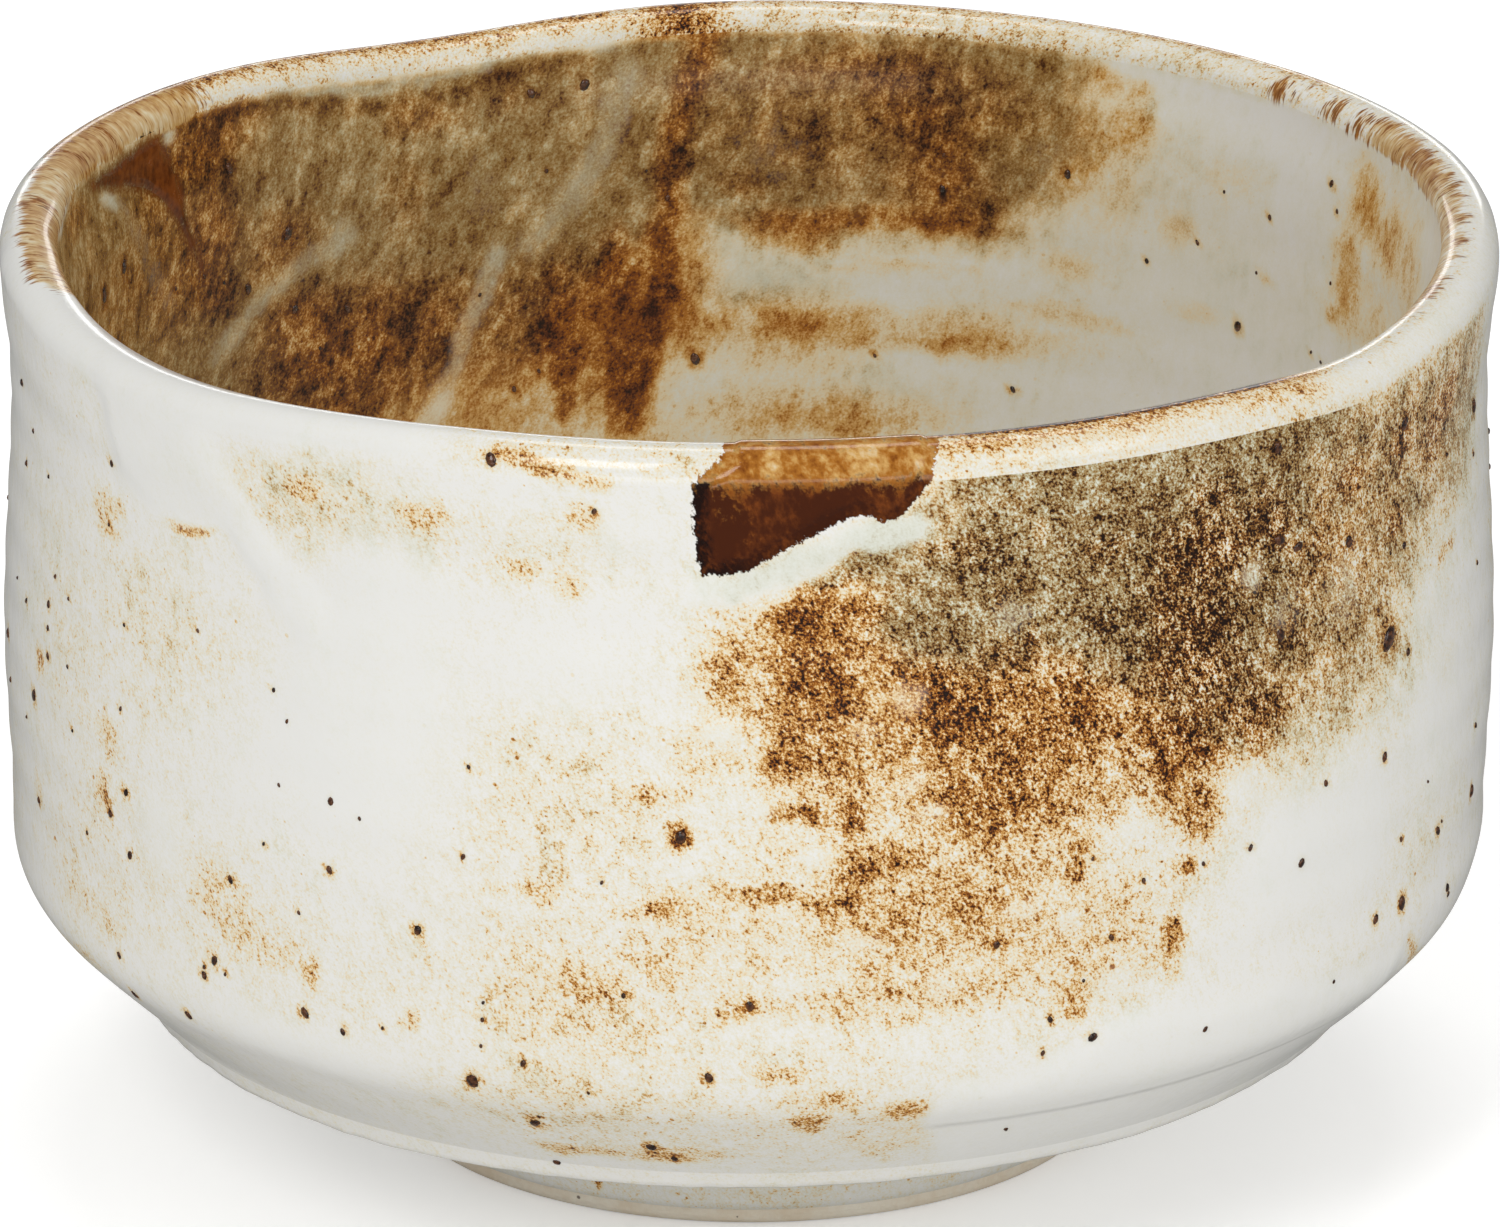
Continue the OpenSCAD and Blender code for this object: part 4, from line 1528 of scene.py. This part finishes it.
class BareClay:
    """The bare stoneware of the foot: warm, dry and trimmed in rings."""

    def material(self, name: str, base: Colour, flash: Colour) -> bpy.types.Material:
        """Return a clay material between a base colour and the flash it takes in the kiln.

        Args:
            name: The material's name.
            base: The clay's own colour.
            flash: The colour where the flame caught it.

        Returns:
            The new material.
        """
        material, g, surface = blank(name)
        place = millimetres(g)
        grog = g.noise(place, 1.6, 4.0, 0.65)
        cloud = g.noise(place, 0.12, 3.0, 0.55)
        rings = g.noise(g.stretch(place, (0.25, 0.25, 3.0)), 0.9, 2.0, 0.5)
        tone = g.add(g.times(g.add(cloud, -0.5), 2.0), g.times(g.add(grog, -0.5), 0.9), 0.4)
        colour = g.mix(g.ease(tone, 0.0, 1.0), base, flash)
        specks = g.pinpoints(place, 0.8, 0.22, 0.22)
        colour = g.mix(g.times(specks, 0.8), colour, (0.08, 0.04, 0.025, 1))
        pale = g.pinpoints(place, 1.1, 0.18, 0.25)
        colour = g.mix(g.times(pale, 0.5), colour, (0.74, 0.66, 0.54, 1))
        g.feed(surface.inputs["Base Color"], colour)
        g.feed(surface.inputs["Roughness"], g.add(0.72, g.times(grog, 0.2)))
        g.roughen(surface, g.add(grog, g.times(rings, 0.8), g.times(specks, -0.5)), 0.7, 0.18)
        return material


# ---------------------------------------------------------------------------------------------
# Modelling
# ---------------------------------------------------------------------------------------------


def fresh() -> None:
    """Deselect everything, so that the next operator works on new geometry only."""
    bpy.ops.object.select_all(action="DESELECT")


def turned(name: str, outline: list[Point], steps: int) -> bpy.types.Object:
    """Turn a closed outline about the bowl's axis, as on the wheel.

    Args:
        name: Name of the new piece.
        outline: Points of (radius, height) in millimetres, in order, the first not repeated.
        steps: Number of steps in the full turn.

    Returns:
        The turned piece, a closed mesh.
    """
    fresh()
    bpy.ops.mesh.primitive_circle_add(vertices=len(outline), radius=MM)
    piece = bpy.context.object
    piece.name = name
    piece.data.name = name
    for vertex, (radius, height) in zip(piece.data.vertices, outline):
        vertex.co = (radius * MM, 0.0, height * MM)
    wheel = piece.modifiers.new("wheel", "SCREW")
    wheel.angle = math.tau
    wheel.screw_offset = 0.0
    wheel.steps = wheel.render_steps = steps
    bpy.ops.object.modifier_apply(modifier=wheel.name)
    bpy.ops.object.mode_set(mode="EDIT")
    bpy.ops.mesh.select_all(action="SELECT")
    bpy.ops.mesh.remove_doubles(threshold=0.002 * MM)
    bpy.ops.mesh.delete_loose()
    bpy.ops.mesh.select_all(action="SELECT")
    bpy.ops.mesh.normals_make_consistent(inside=False)
    bpy.ops.object.mode_set(mode="OBJECT")
    return piece


def points_of(piece: bpy.types.Object) -> np.ndarray:
    """Return a piece's points in millimetres, one row each.

    Args:
        piece: The piece to read.

    Returns:
        The points, as an array of three columns.
    """
    flat = np.empty(len(piece.data.vertices) * 3)
    piece.data.vertices.foreach_get("co", flat)
    return flat.reshape(-1, 3) / MM


def set_points(piece: bpy.types.Object, points: np.ndarray) -> None:
    """Put a piece's points where they are given, in millimetres."""
    piece.data.vertices.foreach_set("co", (points * MM).ravel())
    piece.data.update()


def finish_piece(piece: bpy.types.Object, material: bpy.types.Material,
                 angle: float = 40) -> None:
    """Smooth a piece, give it its material and let it ride on the bowl.

    Args:
        piece: The modelled piece.
        material: Its only material.
        angle: Edges sharper than this, in degrees, stay sharp.
    """
    fresh()
    piece.select_set(True)
    bpy.context.view_layer.objects.active = piece
    bpy.ops.object.shade_smooth_by_angle(angle=math.radians(angle))
    piece.data.materials.clear()
    piece.data.materials.append(material)
    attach(piece, BODY)
    LOG.info("%s: %d faces", piece.name, len(piece.data.polygons))


@dataclass
class Relief:
    """How far the glaze stands out where it ran thick, in millimetres."""

    painter: GlazePainter
    ridge: float = 0.32
    sunk: float = 0.10

    def lifted(self, true: np.ndarray, moved: np.ndarray, layers: np.ndarray) -> np.ndarray:
        """Lift thick white glaze off the wall and let thin iron sink a little.

        Args:
            true: Points of the true shape in millimetres, one row each.
            moved: The same points where they are on the finished bowl.
            layers: The painted layers at the points.

        Returns:
            The lifted points.
        """
        white = layers[:, Layer.WHITE.value]
        iron = layers[:, Layer.IRON.value]
        radius = np.hypot(true[:, 0], true[:, 1])
        side = np.where(radius > self.painter.shape.lip_mid - 1.5, 1.0, -1.0)
        lift = side * (self.ridge * white ** 2 - self.sunk * iron)
        lift = lift * smooth(14.0, 20.0, true[:, 2])
        scale = 1.0 + lift / np.maximum(radius, 1.0)
        return np.column_stack([moved[:, 0] * scale, moved[:, 1] * scale, moved[:, 2]])


@dataclass
class GlazeCoats:
    """The coats of glaze on the wall, lip, well and foot."""

    shape: ThrownShape
    hand: HandWork
    painter: GlazePainter
    glaze: FiredGlaze
    steps: int = 640
    fine: float = 0.55
    well_steps: int = 480
    well_fine: float = 0.7
    coarse: float = 3.0

    def _coat(self, name: str, surface: list[Point], clay: list[Point], side: Side, node: str,
              finish: Finish) -> bpy.types.Object:
        """Turn, shape, paint and dress one coat.

        Args:
            name: Name of the new piece.
            surface: The coat's line on the glaze's surface.
            clay: The coat's line on the clay.
            side: The side of the bowl that it covers.
            node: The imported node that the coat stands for.
            finish: How the coat came out of the kiln.

        Returns:
            The finished coat.
        """
        steps, fine = (self.well_steps, self.well_fine) if side is Side.INNER else (self.steps, self.fine)
        piece = turned(name, spaced(surface, fine) + spaced(clay, self.coarse)[::-1], steps)
        true = points_of(piece)
        layers = self.painter.layers(true, side)
        self.painter.paint(piece, layers)
        moved = self.hand.moved(true)
        set_points(piece, Relief(self.painter).lifted(true, moved, layers))
        finish_piece(piece, self.glaze.material(name, finish))
        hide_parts(node)
        return piece

    def build(self) -> list[bpy.types.Object]:
        """Build the four coats.

        Returns:
            The coats of the wall, lip, well and foot.
        """
        s = self.shape
        bare = (s.root_r - s.foot_flare * (1 - s.foot_bare / s.foot_h), s.foot_bare)
        foot_top = [(bare[0] + s.glaze * 0.2, bare[1]), (bare[0] + s.glaze, bare[1] + 0.5)]
        return [
            self._coat("wall_glaze", s.wall_line(0), s.wall_line(s.glaze), Side.OUTER, "outer_glaze",
                       WALL),
            self._coat("lip_glaze", s.lip_line(0), s.lip_line(s.glaze), Side.LIP, "rim_glaze",
                       LIP_FINISH),
            self._coat("well_glaze", s.well_line(0), s.well_line(s.glaze), Side.INNER, "inner_glaze",
                       WELL),
            self._coat("foot_coat", foot_top + s.ledge_line(0), [bare] + s.ledge_line(s.glaze),
                       Side.OUTER, "foot_glaze", FOOT),
        ]


@dataclass(frozen=True)
class SurfaceLine:
    """A line up the bowl's surface, with the way that the surface faces along it."""

    rows: np.ndarray
    facing: np.ndarray
    run: np.ndarray

    @classmethod
    def along(cls, path: list[Point], gap: float, outward: float, crest: float) -> "SurfaceLine":
        """Space rows along a path.

        Args:
            path: The surface's points, from low to high.
            gap: Distance between rows in millimetres.
            outward: 1 where the surface faces right of the path, -1 where it faces left.
            crest: Height of the lip's crest, past which the run goes on rising.

        Returns:
            The line.
        """
        rows = np.array(spaced(path, gap))
        slope = np.gradient(rows, axis=0)
        facing = np.column_stack([slope[:, 1], -slope[:, 0]]) / np.hypot(*slope.T)[:, None] * outward
        run = np.where(slope[:, 1] < 0, 2 * crest - rows[:, 1], rows[:, 1])
        return cls(rows, facing, run)

    def between(self, low: float, high: float) -> "SurfaceLine":
        """Return the part of the line whose run is between two heights."""
        keep = (self.run > low) & (self.run < high)
        return SurfaceLine(self.rows[keep], self.facing[keep], self.run[keep])

    def at(self, run: float) -> tuple[Point, Point]:
        """Return the place and facing at one height.

        Args:
            run: Height, going on past the lip's crest.

        Returns:
            The place and the facing.
        """
        place = [float(np.interp(run, self.run, self.rows[:, i])) for i in range(2)]
        facing = [float(np.interp(run, self.run, self.facing[:, i])) for i in range(2)]
        return (place[0], place[1]), (facing[0], facing[1])


@dataclass
class IronMarks:
    """Iron on the glaze: two poured patches, and the specks that melted through."""

    shape: ThrownShape
    hand: HandWork
    painter: GlazePainter
    glaze: FiredGlaze
    gap: float = 0.45
    stand: float = 0.20
    sunk: float = 0.25
    shore: float = 0.47
    thickness: float = 0.5
    speck_spread: float = 0.85
    speck_rise: float = 0.16
    speck_lumps: float = 0.28
    speck_lean: float = 0.35

    def outer_line(self) -> SurfaceLine:
        """Return the line up the outer wall and over the lip."""
        s = self.shape
        return SurfaceLine.along(s.wall_line(0) + s.lip_line(0)[1:], self.gap, 1.0, s.height)

    def inner_line(self) -> SurfaceLine:
        """Return the line up the well's wall.

        Returns:
            The line, from just over the floor up to the lip.
        """
        s = self.shape
        rising = [point for point in s.well_line(0) if point[1] > s.floor_z + 0.5][::-1]
        return SurfaceLine.along(rising, self.gap, -1.0, s.height)

    def _patch(self, name: str, patch: Patch, line: SurfaceLine, side: Side, node: str) -> bpy.types.Object:
        """Model a poured patch as a thin lens that follows the bowl's surface.

        Args:
            name: Name of the new piece.
            patch: The patch's outline.
            line: The surface's line through the patch.
            side: The side of the bowl that it lies on.
            node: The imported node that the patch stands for.

        Returns:
            The finished patch.
        """
        bearings = [corner[0] for corner in patch.corners]
        heights = [corner[1] for corner in patch.corners]
        line = line.between(min(heights) - 1, max(heights) + 1)
        width = math.radians(max(bearings) - min(bearings) + 2) * self.shape.lip_r
        turns = np.radians(np.linspace(min(bearings) - 1, max(bearings) + 1, round(width / self.gap)))

        fresh()
        bpy.ops.mesh.primitive_grid_add(
            x_subdivisions=len(turns) - 1, y_subdivisions=len(line.rows) - 1, size=MM
        )
        piece = bpy.context.object
        piece.name = piece.data.name = name
        turn, row = np.tile(turns, len(line.rows)), np.repeat(np.arange(len(line.rows)), len(turns))
        radius, height = line.rows[row].T
        true = np.column_stack([radius * np.sin(turn), -radius * np.cos(turn), height])
        layers = self.painter.layers(true, side)
        self.painter.paint(piece, layers)
        depth = layers[:, Layer.IRON.value]
        lift = (self.sunk + self.stand) * smooth(0.5, 0.85, depth) - self.sunk
        out, up = line.facing[row].T
        facing = np.column_stack([out * np.sin(turn), -out * np.cos(turn), up])
        surface = Relief(self.painter).lifted(true, self.hand.moved(true), layers)
        set_points(piece, surface + facing * lift[:, None])

        bpy.ops.object.mode_set(mode="EDIT")
        bpy.ops.mesh.select_mode(type="VERT")
        bpy.ops.mesh.select_all(action="DESELECT")
        bpy.ops.object.mode_set(mode="OBJECT")
        piece.data.vertices.foreach_set("select", depth < self.shore)
        bpy.ops.object.mode_set(mode="EDIT")
        bpy.ops.mesh.delete(type="VERT")
        bpy.ops.mesh.select_all(action="SELECT")
        if side is Side.INNER:
            bpy.ops.mesh.flip_normals()
        bpy.ops.object.mode_set(mode="OBJECT")
        backing = piece.modifiers.new("thickness", "SOLIDIFY")
        backing.thickness = self.thickness * MM
        backing.offset = -1.0
        bpy.ops.object.modifier_apply(modifier=backing.name)
        finish_piece(piece, self.glaze.material(name, WELL if side is Side.INNER else PANEL), 60)
        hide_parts(node)
        return piece

    def _one_speck(self) -> bpy.types.Object:
        """Model the speck that every other is copied from: a low bead of unit size.

        Returns:
            The model.
        """
        fresh()
        bpy.ops.mesh.primitive_uv_sphere_add(segments=8, ring_count=6, radius=1.0)
        return bpy.context.object

    def _placed(self, model: bpy.types.Object, speck: Speck, line: SurfaceLine, side: Side,
                seed: int) -> bpy.types.Object:
        """Copy the model speck to its place.

        Args:
            model: The speck of unit size.
            speck: Where the copy goes and how large it is.
            line: The surface's line.
            side: The side of the bowl that it lies on.
            seed: Number that sets how the copy departs from round.

        Returns:
            The copy, with its own mesh.
        """
        copy = model.copy()
        copy.data = model.data.copy()
        bpy.context.scene.collection.objects.link(copy)
        (radius, height), (out, up) = line.at(speck.height)
        turn = math.radians(speck.bearing)
        true = np.array([[radius * math.sin(turn), -radius * math.cos(turn), height]])
        layers = self.painter.layers(true, side)
        middle = Relief(self.painter).lifted(true, self.hand.moved(true), layers)[0]
        facing = np.array([out * math.sin(turn), -out * math.cos(turn), up])
        along = np.array([math.cos(turn), math.sin(turn), 0.0])
        rising = np.cross(facing, along)
        unit = points_of(model) * MM
        jitter = np.array([noise.noise_vector(Vector(p) * 0.9 + Vector((seed * 7.3, 0, 0))) for p in unit])
        lumpy = unit * (1.0 + self.speck_lumps * jitter)
        lean = self.speck_lean * math.sin(seed * 2.4)
        size = speck.radius * self.speck_spread
        u = lumpy[:, 0] + lean * lumpy[:, 1]
        points = (
            middle
            + np.outer(u * size, along)
            + np.outer(lumpy[:, 1] * size * speck.tall, rising)
            + np.outer(lumpy[:, 2] * self.speck_rise * (0.6 + speck.radius), facing)
        )
        set_points(copy, points)
        return copy

    def specks(self) -> bpy.types.Object:
        """Build every iron speck as one piece.

        Returns:
            The finished piece.
        """
        model = self._one_speck()
        outer, inner = self.outer_line(), self.inner_line()
        copies = [self._placed(model, k, outer, Side.OUTER, i) for i, k in enumerate(OUTER_SPECKS)]
        copies += [self._placed(model, k, inner, Side.INNER, 100 + i) for i, k in enumerate(INNER_SPECKS)]
        bpy.data.objects.remove(model, do_unlink=True)
        fresh()
        for copy in copies:
            copy.select_set(True)
        bpy.context.view_layer.objects.active = copies[0]
        bpy.ops.object.join()
        piece = bpy.context.object
        piece.name = piece.data.name = "iron_specks"
        finish_piece(piece, MoltenIron().material("molten_iron"), 80)
        return piece

    def build(self) -> list[bpy.types.Object]:
        """Build both patches and the specks.

        Returns:
            The patch outside, the patch inside and the specks.
        """
        return [
            self._patch("iron_patch_front", OUTER_PANEL, self.outer_line(), Side.LIP,
                        "iron_panel_outer"),
            self._patch("iron_patch_well", INNER_PANEL, self.inner_line(), Side.INNER,
                        "iron_panel_inner"),
            self.specks(),
        ]


@dataclass
class Stoneware:
    """The clay under the glaze: the body and the ring it stands on."""

    shape: ThrownShape
    hand: HandWork
    steps: int = 256

    def body(self) -> bpy.types.Object:
        """Build the clay body, whose underside shows inside the foot ring.

        Returns:
            The finished piece.
        """
        s = self.shape
        g = s.glaze
        under = [(0.0, s.foot_h), (4.0, s.foot_h), (s.root_r - 8, s.foot_h)]
        outline = under + [*s.ledge_line(g), *s.wall_line(g)[1:], *s.lip_line(g)[1:], *s.well_line(g)[1:]]
        piece = turned("clay_core", spaced(outline, 0.9), self.steps)
        set_points(piece, self.hand.moved(points_of(piece)))
        clay = BareClay().material("trimmed_clay", (0.62, 0.52, 0.38, 1), (0.54, 0.36, 0.21, 1))
        finish_piece(piece, clay)
        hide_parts("clay_body")
        return piece

    def ring(self) -> bpy.types.Object:
        """Build the foot ring, its tread worn round at both edges.

        Returns:
            The finished piece.
        """
        s = self.shape
        out_low = s.root_r - s.foot_flare
        in_low = out_low - s.tread_w
        in_root = in_low - s.foot_flare
        edge = 0.9
        outline = [
            (in_root, s.foot_h), *arc((in_low + edge, edge), (edge, edge), 180, 270, 6),
            *arc((out_low - edge, edge), (edge, edge), 270, 360, 6), (s.root_r, s.foot_h),
        ]
        piece = turned("foot", spaced(outline, 0.5) + [((in_root + s.root_r) / 2, s.foot_h)], self.steps)
        set_points(piece, self.hand.moved(points_of(piece)))
        clay = BareClay().material("foot_clay", (0.86, 0.80, 0.68, 1), (0.76, 0.64, 0.48, 1))
        finish_piece(piece, clay)
        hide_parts("foot_ring")
        return piece

    def build(self) -> list[bpy.types.Object]:
        """Build both pieces of clay."""
        return [self.body(), self.ring()]


# ---------------------------------------------------------------------------------------------
# Studio
# ---------------------------------------------------------------------------------------------


@dataclass
class Studio:
    """A pale floor, soft light and the camera."""

    target: Vector
    distance: float = 0.750
    elevation: float = 19.95
    focal: float = 221.5
    shift_y: float = 0.024
    room: float = 0.50
    mirrored: float = 0.10
    floor_lift: float = 0.31

    def camera(self) -> None:
        """Place the camera in front of the bowl, looking down into it."""
        data = bpy.data.cameras.new("camera")
        data.lens = self.focal
        data.sensor_width = 36.0
        data.shift_y = self.shift_y
        data.clip_start = 0.01
        obj = bpy.data.objects.new("camera", data)
        tilt = math.radians(self.elevation)
        away = Vector((0, -math.cos(tilt), math.sin(tilt))) * self.distance
        obj.location = self.target + away
        obj.rotation_euler = (-away).to_track_quat("-Z", "Y").to_euler()
        bpy.context.scene.collection.objects.link(obj)
        bpy.context.scene.camera = obj

    def lamp(self, name: str, place: Point3, size: tuple[float, float], power: float) -> None:
        """Hang a soft rectangular lamp that faces the bowl.

        Args:
            name: The lamp's name.
            place: Where it hangs, in metres.
            size: Its width and height in metres.
            power: Its power in watts.
        """
        data = bpy.data.lights.new(name, "AREA")
        data.shape = "RECTANGLE"
        data.size, data.size_y = size
        data.energy = power
        obj = bpy.data.objects.new(name, data)
        obj.location = place
        obj.rotation_euler = (self.target - Vector(place)).to_track_quat("-Z", "Y").to_euler()
        bpy.context.scene.collection.objects.link(obj)

    def floor(self) -> None:
        """Lay a wide pale floor."""
        fresh()
        bpy.ops.mesh.primitive_plane_add(size=6.0, location=(0, 0, 0))
        floor = bpy.context.object
        floor.name = "floor"
        material, g, surface = blank("pale_floor")
        surface.inputs["Roughness"].default_value = 0.9
        surface.inputs["Specular IOR Level"].default_value = 0.0
        path = g.node("ShaderNodeLightPath")
        colour = g.mix(path.outputs["Is Glossy Ray"], (0.92, 0.92, 0.92, 1), (0.2, 0.2, 0.2, 1))
        g.feed(surface.inputs["Base Color"], colour)
        g.feed(surface.inputs["Emission Color"], (1.0, 1.0, 1.0, 1.0))
        g.feed(surface.inputs["Emission Strength"], g.times(path.outputs["Is Camera Ray"], self.floor_lift))
        floor.data.materials.append(material)

    def world(self) -> None:
        """Fill the room with even light, white where the camera looks past it and dim in reflections."""
        world = bpy.data.worlds.new("studio")
        bpy.context.scene.world = world
        world.use_nodes = True
        g = Graph(world.node_tree)
        background = world.node_tree.nodes["Background"]
        path = g.node("ShaderNodeLightPath")
        seen = g.times(path.outputs["Is Camera Ray"], 1.0 - self.room)
        shine = g.times(path.outputs["Is Glossy Ray"], self.mirrored - self.room)
        g.feed(background.inputs["Color"], (1.0, 1.0, 1.0, 1.0))
        g.feed(background.inputs["Strength"], g.add(self.room, seen, shine))

    def build(self) -> None:
        """Build the whole studio."""
        self.camera()
        self.floor()
        self.world()
        self.lamp("key", (-0.6, -1.2, 1.25), (0.5, 0.7), 9.0)
        self.lamp("fill", (1.2, -1.0, 0.8), (0.7, 0.9), 5.0)
        self.lamp("top", (0.1, 0.6, 1.6), (1.0, 0.4), 5.5)
        self.lamp("low", (0.0, -1.4, 0.12), (1.6, 0.2), 3.0)
        self.lamp("edge", (0.0, 1.7, 0.36), (1.3, 0.22), 2.6)
        bpy.context.scene.view_settings.view_transform = "Standard"


def main() -> None:
    """Build the bowl and the studio around it."""
    logging.basicConfig(level=logging.INFO, format="%(message)s")
    noise.seed_set(NOISE_SEED)
    shape = ThrownShape.from_frame()
    hand = HandWork(shape)
    painter = GlazePainter(shape)
    glaze = FiredGlaze()
    GlazeCoats(shape, hand, painter, glaze).build()
    IronMarks(shape, hand, painter, glaze).build()
    Stoneware(shape, hand).build()
    Studio(target=Vector((0, 0, 38 * MM))).build()


if __name__ == "__main__":
    main()
